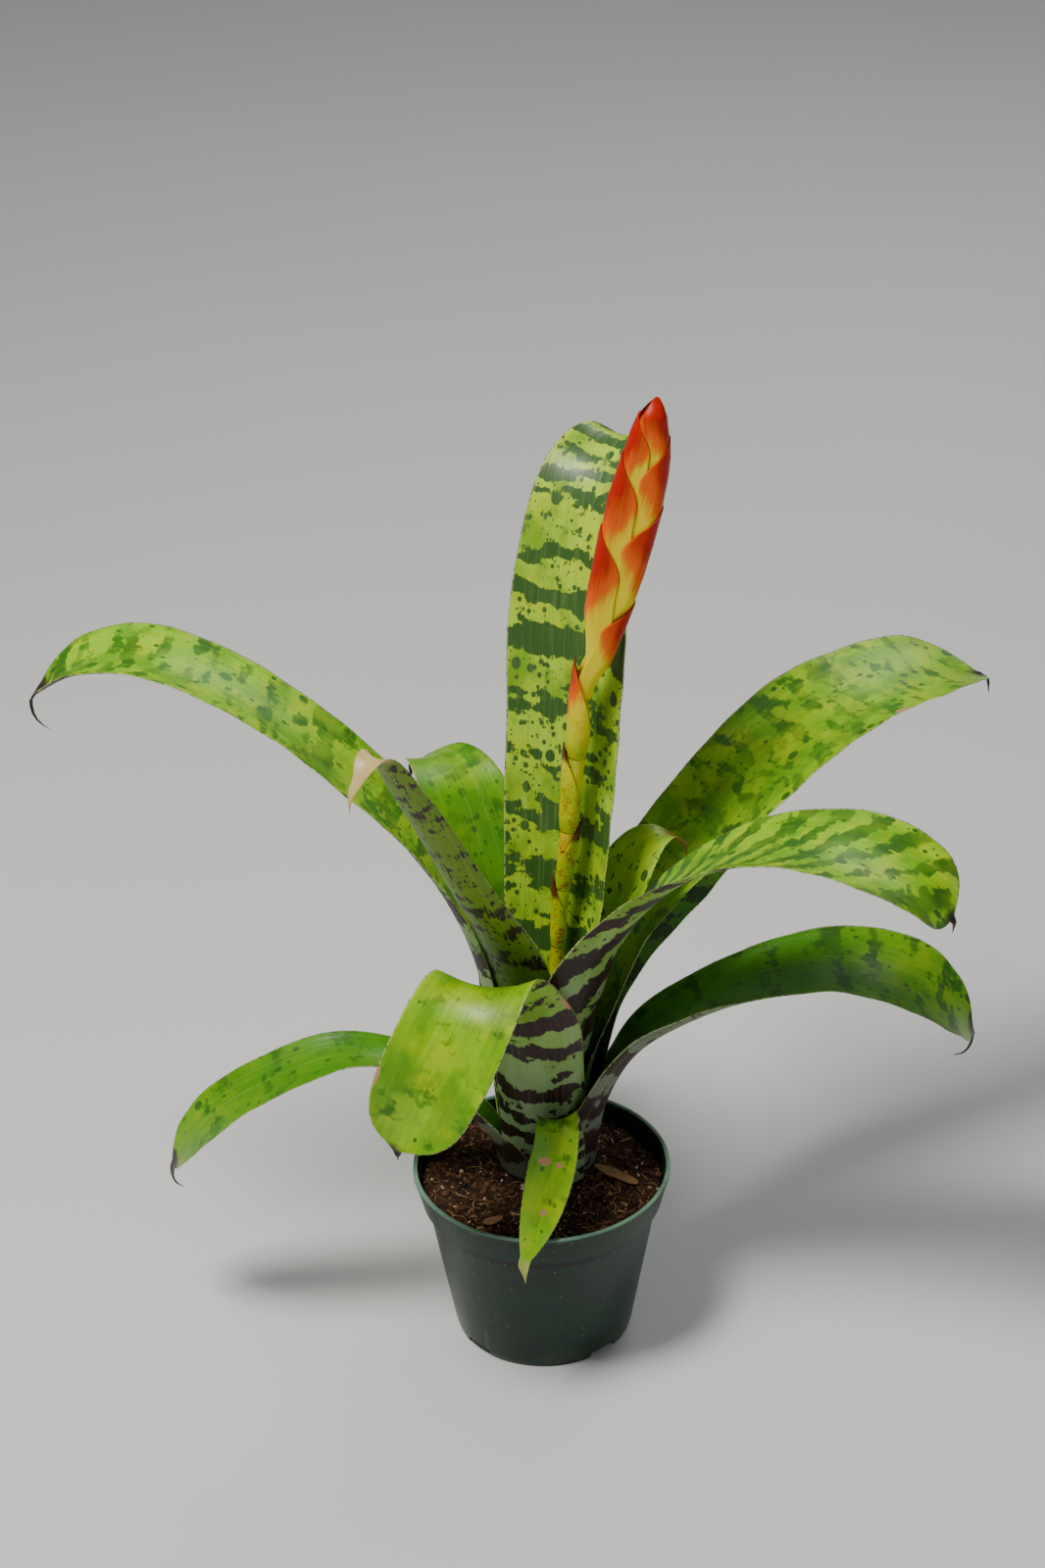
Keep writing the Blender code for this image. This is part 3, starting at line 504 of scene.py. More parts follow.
# ---- materials -------------------------------------------------------------------------------
class Finish:
    """One procedural material: adds nodes and wires them to its Principled shader."""

    def __init__(self, name, roughness=0.5, **sockets):
        self.material = bpy.data.materials.new(name)
        self.material.use_nodes = True
        self.nodes = self.material.node_tree.nodes
        self.links = self.material.node_tree.links
        self.shader = self.nodes["Principled BSDF"]
        self.shader.inputs["Roughness"].default_value = roughness
        for socket, value in sockets.items():
            self.shader.inputs[socket.replace("_", " ")].default_value = value

    def add(self, kind, inputs=None, **settings):
        node = self.nodes.new(kind)
        for key, value in settings.items():
            setattr(node, key, value)
        for key, value in (inputs or {}).items():
            self.feed(node.inputs[key], value)
        return node

    def feed(self, socket, value):
        if isinstance(value, bpy.types.NodeSocket):
            self.links.new(value, socket)
        elif hasattr(value, "__len__") and len(value) == 3 and socket.type == "RGBA":
            socket.default_value = (*value, 1)
        else:
            socket.default_value = value

    def uv(self, name):
        return self.add("ShaderNodeUVMap", uv_map=name).outputs[0]

    def place(self):
        return self.add("ShaderNodeTexCoord").outputs["Object"]

    def split(self, vector):
        return self.add("ShaderNodeSeparateXYZ", {0: vector}).outputs

    def scaled(self, vector, scale, shift=(0, 0, 0)):
        node = self.add("ShaderNodeVectorMath", {0: vector, 1: scale, 2: shift},
                        operation="MULTIPLY_ADD")
        return node.outputs[0]

    def math(self, operation, a, b=0.0, c=0.0, clamp=False):
        node = self.add("ShaderNodeMath", operation=operation, use_clamp=clamp)
        for socket, value in zip(node.inputs, (a, b, c)):
            self.feed(socket, value)
        return node.outputs[0]

    def plus(self, a, b):
        return self.math("ADD", a, b)

    def times(self, a, b):
        return self.math("MULTIPLY", a, b)

    def line(self, value, factor, offset):
        return self.math("MULTIPLY_ADD", value, factor, offset)

    def swing(self, value, amount):
        """The value times the amount, moved so that one half comes to nothing."""
        return self.line(value, amount, -amount / 2)

    def most(self, a, b):
        return self.math("MAXIMUM", a, b)

    def noise(self, vector, scale=1.0, detail=2.0, roughness=0.5, distortion=0.0):
        node = self.add("ShaderNodeTexNoise", {"Vector": vector, "Scale": scale, "Detail": detail,
                                               "Roughness": roughness, "Distortion": distortion})
        return node.outputs[0]

    def cells(self, vector, scale=1.0):
        node = self.add("ShaderNodeTexVoronoi", {"Vector": vector, "Scale": scale}, feature="F1")
        return node.outputs["Distance"], node.outputs["Color"]

    def specks(self, vector, spread, least, edge):
        """Round specks of uneven size, and a random number that is the same all over each one."""
        distance, cell = self.cells(vector)
        chance, size, _ = self.split(cell)
        reach = self.line(size, spread, least)
        return self.step(self.math("SUBTRACT", distance, reach), edge, -edge), chance

    def step(self, value, low, high, to_low=0.0, to_high=1.0):
        node = self.add("ShaderNodeMapRange",
                        {"Value": value, "From Min": low, "From Max": high, "To Min": to_low,
                         "To Max": to_high}, interpolation_type="SMOOTHSTEP")
        return node.outputs[0]

    def mix(self, part, a, b, blend="MIX"):
        node = self.add("ShaderNodeMix", data_type="RGBA", blend_type=blend)
        self.feed(node.inputs[0], part)
        self.feed(node.inputs[6], a)
        self.feed(node.inputs[7], b)
        return node.outputs[2]

    def levels(self, value, stops):
        """A grey level for each (place, level), straight between them."""
        node = self.add("ShaderNodeValToRGB", {0: value})
        line = node.color_ramp
        line.interpolation = "LINEAR"
        while len(line.elements) < len(stops):
            line.elements.new(0.5)
        for element, (place, level) in zip(line.elements, stops):
            element.position = place
        for element, (place, level) in zip(line.elements, stops):
            element.color = (level, level, level, 1)
        return node.outputs[0]

    def bump(self, height, distance, strength=1.0):
        node = self.add("ShaderNodeBump", {"Height": height, "Distance": distance,
                                           "Strength": strength})
        return node.outputs[0]

    def finish(self, base=None, roughness=None, normal=None):
        for socket, value in (("Base Color", base), ("Roughness", roughness),
                              ("Normal", normal)):
            if value is not None:
                self.feed(self.shader.inputs[socket], value)
        return self.material


def band_stops(bands, valley=0.12):
    """Peaks at the bands and valleys midway between them."""
    stops = [(0.0, valley)]
    for (here, level), following in zip(bands, list(bands[1:]) + [(1.08, 0)]):
        stops.append((min(1.0, here), level / 1.2))
        middle = (here + following[0]) / 2
        if middle < 1:
            stops.append((middle, valley / 1.2))
    return stops


def leaf_finish(name, leaf, settings, seed, underside):
    """Bands, blotches and spots over a light ground, with fine streaks along the leaf."""
    f = Finish(name, roughness=0.36, Specular_IOR_Level=0.38,
               Coat_Weight=0.0 if underside else 0.08, Coat_Roughness=0.3)
    blade = f.uv("blade_cm")
    across_share, along, _ = f.split(f.uv("blade_share"))
    across = f.line(across_share, 2.0, -1.0)
    edge = f.math("ABSOLUTE", across)
    shift = (3.7 * seed, 5.3 * seed, 0)
    streaky, spots = leaf.get("streaky", 0.0), leaf.get("spots", 0.4)

    def on_blade(x, y):
        return f.scaled(blade, (x, y, 1), shift)

    def grain(x, y, detail=2.0, roughness=0.5):
        return f.noise(on_blade(x, y), 1.0, detail, roughness)

    # the dark pattern: bands broken up by blotches, then round spots and specks
    wander = grain(0.45, 0.5)
    position = f.plus(f.swing(wander, 0.06), along)
    position = f.plus(position, f.times(across, leaf.get("slant", 0.0)))
    bands = leaf["under_bands"] if underside and "under_bands" in leaf else leaf["bands"]
    profile = f.times(f.levels(position, band_stops(bands)), 1.2)
    blotch = grain(0.9, 1.5)
    comb = grain(13 - 5 * streaky, 1.1, 2.0, 0.6)
    comb_part = (0.22 if underside else leaf.get("comb", 0.22)) + 1.4 * streaky
    mottle = 0.0 if underside else leaf.get("mottle", 0.0)
    dark = f.plus(f.times(profile, 1 - 0.45 * mottle),
                  f.line(blotch, 1.6 + 1.6 * mottle, -0.8 - 0.66 * mottle))
    dark = f.plus(dark, f.swing(grain(4.0, 3.2), 0.5))
    dark = f.plus(dark, f.swing(comb, comb_part))
    soft = 0.0 if underside else leaf.get("soft", 0.0)
    dark = f.step(dark, 0.46 - 0.10 * soft, 0.54 + 0.08 * streaky + 0.12 * soft)
    if soft:
        dark = f.times(dark, f.step(grain(0.75, 0.55), 0.36, 0.62, 1 - 0.75 * soft, 1.0))
    for x, y, chosen, least, spread in SPOT_SIZES:
        spot, chance = f.specks(on_blade(x, y), spread, least, 0.03)
        rare = 1 - chosen * (0.3 + spots)
        dark = f.most(dark, f.times(spot, f.step(chance, rare, rare + 0.02)))
    if leaf.get("dashes"):
        dash, chance = f.specks(on_blade(6.0, 1.8), 0.2, 0.14, 0.03)
        dark = f.most(dark, f.times(dash, f.step(chance, 0.5, 0.53)))

    # fine parallel veins and slow clouds of light and deep green
    veins = grain(30, 0.35, 2.0, 0.6)
    ribs = grain(7, 0.08, 1.0)
    clouds = grain(0.6, 0.35, 3.0, 0.6)
    if underside:
        ground = f.mix(f.step(clouds, 0.35, 0.7), settings.under, settings.lime)
        bloom = f.step(f.plus(f.times(along, -1.9), f.times(clouds, 1.3)), -0.45, 0.45)
        ground = f.mix(f.times(bloom, 0.8), ground, settings.bloom)
        if leaf.get("olive"):
            ground = f.mix(leaf["olive"], ground, (0.15, 0.26, 0.004))
        if leaf.get("plum"):
            ground = f.mix(leaf["plum"], ground, (0.15, 0.16, 0.13))
        band = f.mix(f.step(clouds, 0.3, 0.75), settings.maroon, (0.040, 0.006, 0.010))
    else:
        light = f.mix(leaf.get("pale", 0.0), settings.lime, settings.pale)
        warm = grain(0.5, 0.75, 3.0, 0.6)
        strokes = grain(3.2, 0.30)
        light = f.mix(f.times(f.step(warm, 0.45, 0.65), 0.55), light, (0.60, 0.74, 0.0))
        green = leaf.get("green", 0.0)
        light = f.mix(f.step(along, 0.60, 0.85, green, 0.55 * green), light, settings.green)
        deep = f.mix(0.62, light, settings.green)
        ground = f.mix(f.step(clouds, 0.40, 0.66), light, deep)
        ground = f.mix(f.times(f.step(strokes, 0.52, 0.75), 0.35), ground, deep)
        base = f.step(along, 0.45, 0.2)
        ground = f.mix(f.times(base, leaf.get("base", 0.5)), ground, settings.band)
        # painted sheen: in streaky patches the dark bands are lightened towards grey-green,
        # standing in for a reflection of the light
        sheen = f.times(f.step(strokes, 0.45, 0.8), f.step(clouds, 0.4, 0.65, 0.2, 1.0))
        band = f.mix(f.step(warm, 0.38, 0.62, soft, 0.55 * soft), settings.band,
                     (0.060, 0.27, 0.0))
        band = f.mix(leaf.get("pale", 0.0), band, (0.055, 0.135, 0.030))
        band = f.mix(sheen, band, leaf.get("painted_band_sheen", (0.065, 0.20, 0.012)))
    tone = f.mix(dark, ground, band)
    tone = f.mix(f.math("MULTIPLY_ADD", veins, 0.7, -0.22, clamp=True), tone,
                 (0.04, 0.05, 0.02) if underside else (0.03, 0.07, 0.0))
    tone = f.mix(f.times(f.step(ribs, 0.55, 0.75), 0.08), tone, (0.65, 0.85, 0.20))

    # margin, scars and the dried point
    ragged = f.plus(edge, f.swing(wander, 0.02))
    tone = f.mix(f.times(f.step(ragged, 0.972, 0.985), 0.6), tone, settings.margin)
    fleck = f.times(f.step(grain(0.6, 5.5, 1.0), 0.55, 0.60), 0.8)
    tone = f.mix(f.times(f.step(edge, 0.968, 0.988), fleck), tone, (0.04, 0.015, 0.006))
    for x, y, width, height in leaf.get("scars", ()):
        away = f.plus(f.math("POWER", f.times(f.plus(across, -x), 1 / width), 2.0),
                      f.math("POWER", f.times(f.plus(along, -y), 1 / height), 2.0))
        mark = f.step(f.plus(away, f.times(grain(9, 9), 0.9)), 1.55, 1.15)
        tone = f.mix(mark, tone, settings.scar)
    tip = leaf.get("tip", 0.965)
    ending = f.plus(along, f.swing(blotch, 0.03))
    dry = leaf.get("tip_colour", settings.dry)
    tone = f.mix(f.step(ending, tip - 0.004, tip + 0.012), tone, dry)

    gloss = f.line(veins, 0.16, 0.44 if underside else 0.28)
    height = f.plus(f.times(veins, 0.35), ribs)
    return f.finish(tone, gloss, f.bump(height, 0.00035, 0.55))


# ---- leaves ----------------------------------------------------------------------------------
def leaf_width(station, leaf, sheath_share, base_radius, end):
    """Flat width of the leaf along its length: broad sheath, neck, blade, pointed tip."""
    blade = leaf["width"]
    neck = leaf.get("neck", 0.82) * blade
    sheath = leaf.get("sheath_width", min(1.15 * blade, 3.3 * base_radius))
    width = sheath + (neck - sheath) * ramp(station, 0.35 * sheath_share, 1.25 * sheath_share)
    width = width + (blade - width) * ramp(station, sheath_share, sheath_share + 0.42)
    into_tip = np.clip((station - 0.6) / 0.4, 0, 1)
    tip = (1 - into_tip ** leaf.get("bluntness", 2.4)) ** 0.75
    point = 5.2 * (1 - ramp(station, 0.99, end + 0.001)) + 0.15
    return np.maximum(width * tip, np.minimum(point, width))


def leaf_grid(leaf, seed):
    """Mid-surface points and normals of a leaf, with its widths and its two UV maps."""
    azimuth = radians(leaf["azimuth"])
    out = np.array([cos(azimuth), sin(azimuth), 0])
    side = np.array([-sin(azimuth), cos(azimuth), 0])
    knots = leaf["midrib"] + leaf["hook"]
    midrib, whole, fine = curve_through(knots, None, len(leaf["midrib"]))
    end = fine[-1]
    sheath_share = leaf["sheath"] / whole
    veer, start, power = leaf.get("veer", (0, 0, 1))
    drift = veer * np.clip((fine - start) / (1 - start), 0, 1) ** power
    line = (PLANT + midrib[:, :1] * out + midrib[:, 1:] * np.array([0, 0, 1])
            + drift[:, None] * side)
    forward = unit(np.gradient(line, axis=0))
    across = unit(side - (forward @ side)[:, None] * forward)
    upper = np.cross(forward, across)
    if upper[0] @ out > 0:
        upper = -upper

    width = leaf_width(fine, leaf, sheath_share, midrib[0, 0], end)
    neck_curl = radians(leaf.get("neck_curl", 100))
    blade_curl = radians(leaf.get("blade_curl", 45))
    curl = neck_curl + (blade_curl - neck_curl) * ramp(fine, sheath_share, 0.62)
    curl = curl + (radians(60) - curl) * ramp(fine, 0.78, 1)
    curl = curl + radians(70) * ramp(fine, 0.985, end)
    free = ramp(fine, 0.55 * sheath_share, 1.35 * sheath_share)
    radius = midrib[:, 0] * (1 - free) + width / curl * free

    t = np.linspace(0, 1, LEAF_STATIONS)
    stations = end * (0.88 * t + 0.12 * (1 - (1 - t) ** 3))

    def at_stations(values):
        columns = values.reshape(len(fine), -1).T
        return np.stack([np.interp(stations, fine, column) for column in columns], axis=1)

    line, across, upper = at_stations(line), at_stations(across), at_stations(upper)
    width, radius, free = at_stations(width), at_stations(radius), at_stations(free)
    strip = np.sin(np.linspace(-1.35, 1.35, LEAF_COLUMNS)) / sin(1.35)
    mm_along = stations * whole
    wave = (0.5 * np.sin(mm_along / 8.3 + seed) + 0.5 * np.sin(mm_along / 3.7 + 2.3 * seed))
    width = width * (1 + 0.012 * free * np.sin(mm_along / 12 + 1.7 * seed)[:, None])
    angle = width / radius * strip / 2
    sine, cosine = np.sin(angle)[..., None], np.cos(angle)[..., None]
    reach = radius[..., None]
    middle = line[:, None] + reach * (sine * across[:, None] + (1 - cosine) * upper[:, None])
    normals = cosine * upper[:, None] - sine * across[:, None]
    ripple = np.where(strip > 0, wave[:, None], -wave[::-1, None]) * strip ** 6
    ripple = ripple * 0.45 * free * np.minimum(1, width / 25)
    middle = middle + ripple[..., None] * normals
    blade_cm = np.stack([width * strip / 20, np.tile(mm_along[:, None] / 10, len(strip))], -1)
    shares = np.stack([np.tile((strip + 1) / 2, (len(stations), 1)),
                       np.tile(stations[:, None], len(strip))], -1)
    return middle, normals, width, strip, {"blade_cm": blade_cm, "blade_share": shares}


def build_leaf(name, leaf, settings, seed):
    middle, normals, width, strip, uvs = leaf_grid(leaf, seed)
    body = (0.25 + 0.75 * np.sqrt(1 - np.abs(strip) ** 3)) * settings.thickness / MM
    thickness = body * np.minimum(1, 0.5 + width / 20)
    materials = [leaf_finish(name + "_upper", leaf, settings, seed, False),
                 leaf_finish(name + "_under", leaf, settings, seed, True)]
    piece = closed_sheet(name + "_blade", middle, normals, thickness, materials, uvs)
    place(piece, "leaf", name)


# ---- flower spike ----------------------------------------------------------------------------
def stalk_frame(stations):
    """Points of the stalk line with the directions to its right and to its back."""
    line, whole, _ = curve_through(STALK_LINE, stations)
    even = np.linspace(0, 1, 201)
    fine, _, _ = curve_through(STALK_LINE, even)
    slopes = unit(np.gradient(fine, axis=0))
    forward = unit(np.stack([np.interp(stations, even, slopes[:, k]) for k in range(3)], axis=1))
    back = unit(np.array([0, 1, 0]) - forward[:, 1:2] * forward)
    right = np.cross(forward, back)
    return line, -right if right[0, 0] < 0 else right, back, whole


def stalk_finish(settings):
    f = Finish("stalk_skin", roughness=0.38, Specular_IOR_Level=0.5, Coat_Weight=0.15,
               Coat_Roughness=0.3)
    cm = f.uv("stalk_cm")
    _, along, _ = f.split(cm)
    place_share = f.times(along, 1 / 36.3)
    fibre = f.noise(f.scaled(cm, (22, 0.5, 1)), 1.0, 2.0)
    clouds = f.noise(f.scaled(cm, (1.4, 0.8, 1)), 1.0, 3.0)
    tone = f.mix(f.step(clouds, 0.4, 0.75), settings.stalk, settings.yellow)
    tone = f.mix(f.step(place_share, 0.12, 0.0), tone, (0.30, 0.46, 0.02))
    knots = f.levels(place_share, ((0.0, 0.0), (0.235, 0.0), (0.27, 0.9), (0.30, 0.0), (0.375, 0.0),
                                   (0.405, 1.0), (0.44, 0.0), (0.56, 0.15), (0.7, 0.3), (1, 0.4)))
    speck, chance = f.specks(f.scaled(cm, (6.5, 6.5, 1)), 0.35, 0.15, 0.05)
    speck = f.times(speck, f.step(f.plus(chance, f.times(knots, 0.75)), 0.98, 1.05))
    tone = f.mix(f.times(knots, 0.35), tone, settings.orange)
    tone = f.mix(speck, tone, settings.speckle)
    gloss = f.line(fibre, 0.2, 0.3)
    return f.finish(tone, gloss, f.bump(f.plus(fibre, f.times(speck, -0.4)), 0.0003, 0.5))


def stalk_radius(stations, settings):
    low, joint = settings.stalk_radius / MM, settings.joint_radius / MM
    bare = low + (joint - low) * ramp(stations, 0.3, 0.5)
    thin = ramp(stations, STALK_SPIKE_SHARE - 0.07, STALK_SPIKE_SHARE)
    return bare + (STALK_SPIKE_RADIUS - bare) * thin


def build_stalk(settings):
    """The stalk: a smooth rod, thinning inside the spike."""
    stations = np.linspace(0, 0.97, 120)
    line, right, back, whole = stalk_frame(stations)
    radius = stalk_radius(stations, settings) * (1 - 0.45 * ramp(stations, 0.85, 1))
    sides = 32
    points, faces = tube_parts(line, radius, sides, right, back)
    turn = np.tile(np.arange(sides) / sides * tau * radius[0] / 10, len(line))
    rise = np.repeat(stations * whole / 10, sides)
    cm = np.vstack([np.stack([turn, rise], -1), [[0, 0], [0, whole / 10]]])
    piece = add_piece("stalk_rod", points, faces, [stalk_finish(settings)], {"stalk_cm": cm})
    place(piece, "flower_stalk", "flower_stalk")


def bract_finish(name, settings, redness, dryness, seed):
    """Yellow at the margins and the foot, orange on the cheeks, red along the keel and tip."""
    f = Finish(name, roughness=0.34, Specular_IOR_Level=0.22, Coat_Weight=0.03, Coat_Roughness=0.25)
    cm = f.uv("bract_cm")
    across, up, _ = f.split(f.uv("bract_share"))
    from_keel = f.math("ABSOLUTE", f.line(across, 2.0, -1.0))
    shift = (4.1 * seed, 2.7 * seed, 0)

    def on_skin(x, y):
        return f.scaled(cm, (x, y, 1), shift)

    fibre = f.noise(on_skin(16, 0.7))
    clouds = f.noise(on_skin(1.6, 0.9))
    warmth = f.plus(f.times(up, 2.0), f.times(from_keel, -0.55))
    warmth = f.plus(warmth, f.line(clouds, 0.30, redness - 0.15))
    warmth = f.plus(warmth, f.swing(f.noise(on_skin(5, 0.4)), 0.36))
    warmth = f.plus(warmth, f.swing(fibre, 0.24))
    tone = f.mix(f.step(warmth, -0.22, 0.16), settings.yellow, settings.orange)
    tone = f.mix(f.step(warmth, 0.12, 0.62), tone, settings.red)
    if dryness:
        ending = f.plus(up, f.swing(clouds, 0.12))
        fresh = f.step(up, 1.6 * dryness + 0.2, 1.6 * dryness - 0.4)
        tone = f.mix(f.times(fresh, f.step(clouds, 0.35, 0.55, 0.7, 1.0)), tone,
                     settings.stalk)
        tone = f.mix(f.step(ending, 1.0 - 0.45 * dryness, 1.06 - 0.4 * dryness), tone,
                     (0.13, 0.035, 0.012))
        speck, chance = f.specks(on_skin(9, 8), 0.35, 0.15, 0.04)
        speck = f.times(speck, f.step(f.plus(chance, f.times(up, 0.45)), 0.80, 0.86))
        tone = f.mix(f.times(speck, dryness), tone, settings.speckle)
        cluster = f.times(f.step(f.noise(on_skin(2.6, 1.8), 1.0, 1.0), 0.47, 0.60),
                          f.step(f.noise(on_skin(14, 12)), 0.46, 0.52))
        cluster = f.times(cluster, f.step(up, 0.75, 0.45))
        tone = f.mix(f.times(cluster, min(1, 1.2 * dryness)), tone, (0.34, 0.030, 0.002))
    gloss = f.line(fibre, 0.18, 0.26)
    return f.finish(tone, gloss, f.bump(fibre, 0.00025, 0.5))


def bract_uvs(middle, across, up, high):
    steps = np.linalg.norm(np.diff(middle, axis=1), axis=2)
    width = np.concatenate([np.zeros((len(up), 1)), np.cumsum(steps, axis=1)], axis=1)
    width = width - width[:, -1:] / 2
    cm = np.stack([width / 10, np.tile(up[:, None] * high / 10, len(across))], -1)
    shares = np.stack([np.tile((across + 1) / 2, (len(up), 1)), np.tile(up[:, None], len(across))],
                      -1)
    return {"bract_cm": cm, "bract_share": shares}


def build_stalk_bract(name, foot, tip, azimuth, flare, settings, seed):
    """A thin pointed scale wrapped round the stalk, its dry tip standing a little off it."""
    up = np.linspace(0, 1, 30)
    station = foot + (tip - foot) * up
    line, right, back, whole = stalk_frame(station)
    radius = np.maximum(stalk_radius(station, settings), stalk_radius(foot, settings))
    radius = radius - 0.15 + 0.6 * ramp(up, 0, 0.2) + flare * up ** 0.9
    spread = radians(155) * (1 - up ** 1.8) + radians(6)
    across = np.linspace(-1, 1, 41)
    angle = radians(azimuth) + spread[:, None] * across
    normals = (np.cos(angle)[..., None] * right[:, None] + np.sin(angle)[..., None] * back[:, None])
    rise = up[:, None]
    reach = radius[:, None] + 0.15 * np.sin(9 * across[None, :] + 5 * rise + seed) * rise
    middle = line[:, None] + reach[..., None] * normals
    thickness = np.full(angle.shape, 0.4)
    redness, dryness = STALK_BRACT_TINTS[seed]
    finish = bract_finish(name + "_skin", settings, redness, dryness, seed + 20)
    uvs = bract_uvs(middle, across, up, (tip - foot) * whole)
    piece = closed_sheet(name + "_scale", middle, normals, thickness, [finish], uvs)
    place(piece, "stalk_bract", name)


def build_spike_bract(name, foot, tip, azimuth, lower_tip, settings, seed):
    """A boat-shaped scale, folded at its keel, whose two cheeks clasp the next scale's foot."""
    up = np.linspace(0, 1, 56)
    station = foot + (tip - foot) * up
    line, right, back, whole = stalk_frame(station)
    outward = right * (1 if azimuth == 0 else -1)
    outline = np.interp(station, *zip(*SPIKE_OUTLINE))
    inside = 0.45 - 0.45 * ramp(station, lower_tip + 0.005, lower_tip + 0.04) if lower_tip else 0
    keel_reach = 2.9 + (outline - inside - 2.9) * ramp(up, 0, 0.32 if lower_tip else 0.45)
    margin = -2.8 - 1.4 * ramp(up, 0, 0.2) + 3.0 * ramp(up, 0.2, 0.6)
    margin = margin + (keel_reach - 0.1 - margin) * ramp(up, 0.62, 1) ** 1.3
    far_side = outline - 0.9 + 0.45 * ramp(station, 0.945, 0.975)
    if tip == 1:
        margin = -2.8 + (3.4 - far_side) * ramp(up, 0.1, 0.6)
    half_depth = 3.1 + 2.0 * up
    if tip == 1:
        half_depth = half_depth * (1 - 0.85 * ramp(up, 0.8, 1))
    across = np.linspace(-1, 1, 49)
    across = np.sign(across) * np.abs(across) ** 1.3
    from_keel = (keel_reach - margin)[:, None] * np.abs(across)
    sideways = keel_reach[:, None] - from_keel
    bulge = np.sqrt(1 - (1 - np.minimum(1, from_keel / KEEL_ROUNDING)) ** 2)
    if tip == 1:
        from_far_side = np.clip((sideways + far_side[:, None]) / KEEL_ROUNDING, 0, 1)
        bulge = bulge * np.sqrt(1 - (1 - from_far_side) ** 2)
    depth = half_depth[:, None] * np.sign(across) * bulge
    middle = (line[:, None] + sideways[..., None] * outward[:, None]
              + depth[..., None] * back[:, None])
    normals = unit(np.cross(np.gradient(middle, axis=1), np.gradient(middle, axis=0)))
    thickness = np.full(normals.shape[:2], 0.26)
    finish = bract_finish(name + "_skin", settings, SPIKE_REDNESS, 0.0, seed)
    uvs = bract_uvs(middle, across, up, (tip - foot) * whole)
    piece = closed_sheet(name + "_scale", middle, normals, thickness, [finish], uvs)
    place(piece, "spike_bract", name)


# ---- pot -------------------------------------------------------------------------------------
def pot_profile(settings):
    """Outline of the pot's wall in half section, from the floor's middle outside to inside."""
    height, rim = settings.height / MM, settings.rim_radius / MM
    base, wall = settings.base_radius / MM, settings.wall / MM
    collar_bottom = height - settings.collar_height / MM
    under_rim = rim - RIM_LIP
    slope = (under_rim - COLLAR_STEP - base) / height
    below = base + slope * collar_bottom
    foot = below + COLLAR_STEP
    pad, ring = CENTRE_PAD_RADIUS, base - FOOT_WIDTH
    return [
        (0, 0), (pad, 0), (pad + 0.3, 0.3), (pad + 0.6, FOOT_HEIGHT),
        (ring, FOOT_HEIGHT), (ring, 0.3), (ring + 0.3, 0), (base - 0.7, 0), (base - 0.3, 0.3),
        (base + slope * 3.4, 3.4), (base + slope * 20, 20), (base + slope * 40, 40),
        (below - 0.3, collar_bottom - 1.2), (below, collar_bottom - 0.1),
        (below + 0.5, collar_bottom), (foot - 0.5, collar_bottom),
        (foot - 0.1, collar_bottom + 0.3), (foot + 0.02, collar_bottom + 0.9),
        (under_rim - 0.15, height - 4), (under_rim, height - 2.4),
        (rim - 0.25, height - 2.0), (rim, height - 1.6), (rim, height - 0.6),
        (rim - 0.25, height - 0.1), (rim - 0.6, height), (under_rim - wall + 0.4, height),
        (under_rim - wall + 0.1, height - 0.2), (under_rim - wall, height - 0.8),
        (foot - wall, collar_bottom + 0.8), (below - wall, collar_bottom - 1.0),
        (base - wall + slope * 5, FLOOR_TOP), (0, FLOOR_TOP),
    ]


def pot_finish(settings):
    f = Finish("pot_plastic_skin", roughness=0.4, Specular_IOR_Level=0.32)
    place_at = f.place()
    x, y, z = f.split(place_at)
    peel = f.noise(place_at, 900.0, 2.0)
    clouds = f.noise(place_at, 38.0, 4.0, 0.6)
    turn = f.math("ARCTAN2", y, x)
    around = f.add("ShaderNodeCombineXYZ", {0: turn, 1: z}).outputs[0]
    scuffs = f.noise(f.scaled(around, (70, 900, 1)), 1.0, 3.0, 0.65)
    flow = f.noise(f.scaled(around, (26, 8, 1)), 1.0, 2.0)
    distance, cell = f.cells(place_at, 420.0)
    chance = f.split(cell)[0]
    crumb = f.times(f.step(distance, 0.28, 0.16), f.step(chance, 0.93, 0.95))
    tone = f.mix(f.times(f.step(clouds, 0.35, 0.75), 0.45), settings.green,
                 (0.008, 0.040, 0.024))
    tone = f.mix(f.times(f.step(flow, 0.55, 0.8), 0.25), tone, (0.014, 0.055, 0.034))
    tone = f.mix(f.times(f.step(scuffs, 0.60, 0.72), 0.22), tone, settings.wear_and_rim_highlight)
    # painted highlight: the top millimetre of the rim is lightened to the wear colour, standing in
    # for light catching the lip
    lip = f.step(z, settings.height - 0.0011, settings.height - 0.0003)
    lip = f.times(lip, f.step(clouds, 0.3, 0.55, 0.45, 1.0))
    tone = f.mix(lip, tone, settings.wear_and_rim_highlight)
    # painted shade: a near-black band on the wall just under the collar stands in for the shadow
    # that the collar step casts
    corner = settings.height - settings.collar_height
    painted_collar_shade = f.times(f.step(z, corner - 0.0056, corner - 0.0042), f.step(z, corner + 0.0003, corner))
    tone = f.mix(f.times(painted_collar_shade, f.step(clouds, 0.2, 0.6, 0.8, 1.0)), tone, (0.001, 0.002, 0.001))
    soil = f.times(f.step(z, settings.height - 0.006, settings.height - 0.001),
                   f.step(f.noise(place_at, 260.0, 4.0, 0.7), 0.56, 0.66))
    tone = f.mix(f.times(soil, 0.55), tone, settings.dust)
    low = f.times(f.step(z, 0.012, 0.0), f.step(clouds, 0.4, 0.7))
    tone = f.mix(f.times(low, 0.4), tone, settings.dust)
    tone = f.mix(f.times(crumb, 0.55), tone, settings.dust)
    gloss = f.line(clouds, 0.22, 0.24)
    gloss = f.plus(gloss, f.times(f.step(scuffs, 0.55, 0.75), 0.15))
    height = f.plus(f.times(peel, 0.4), f.plus(f.times(flow, 1.2), f.times(crumb, 0.6)))
    return f.finish(tone, gloss, f.bump(height, 0.00018, 0.5))


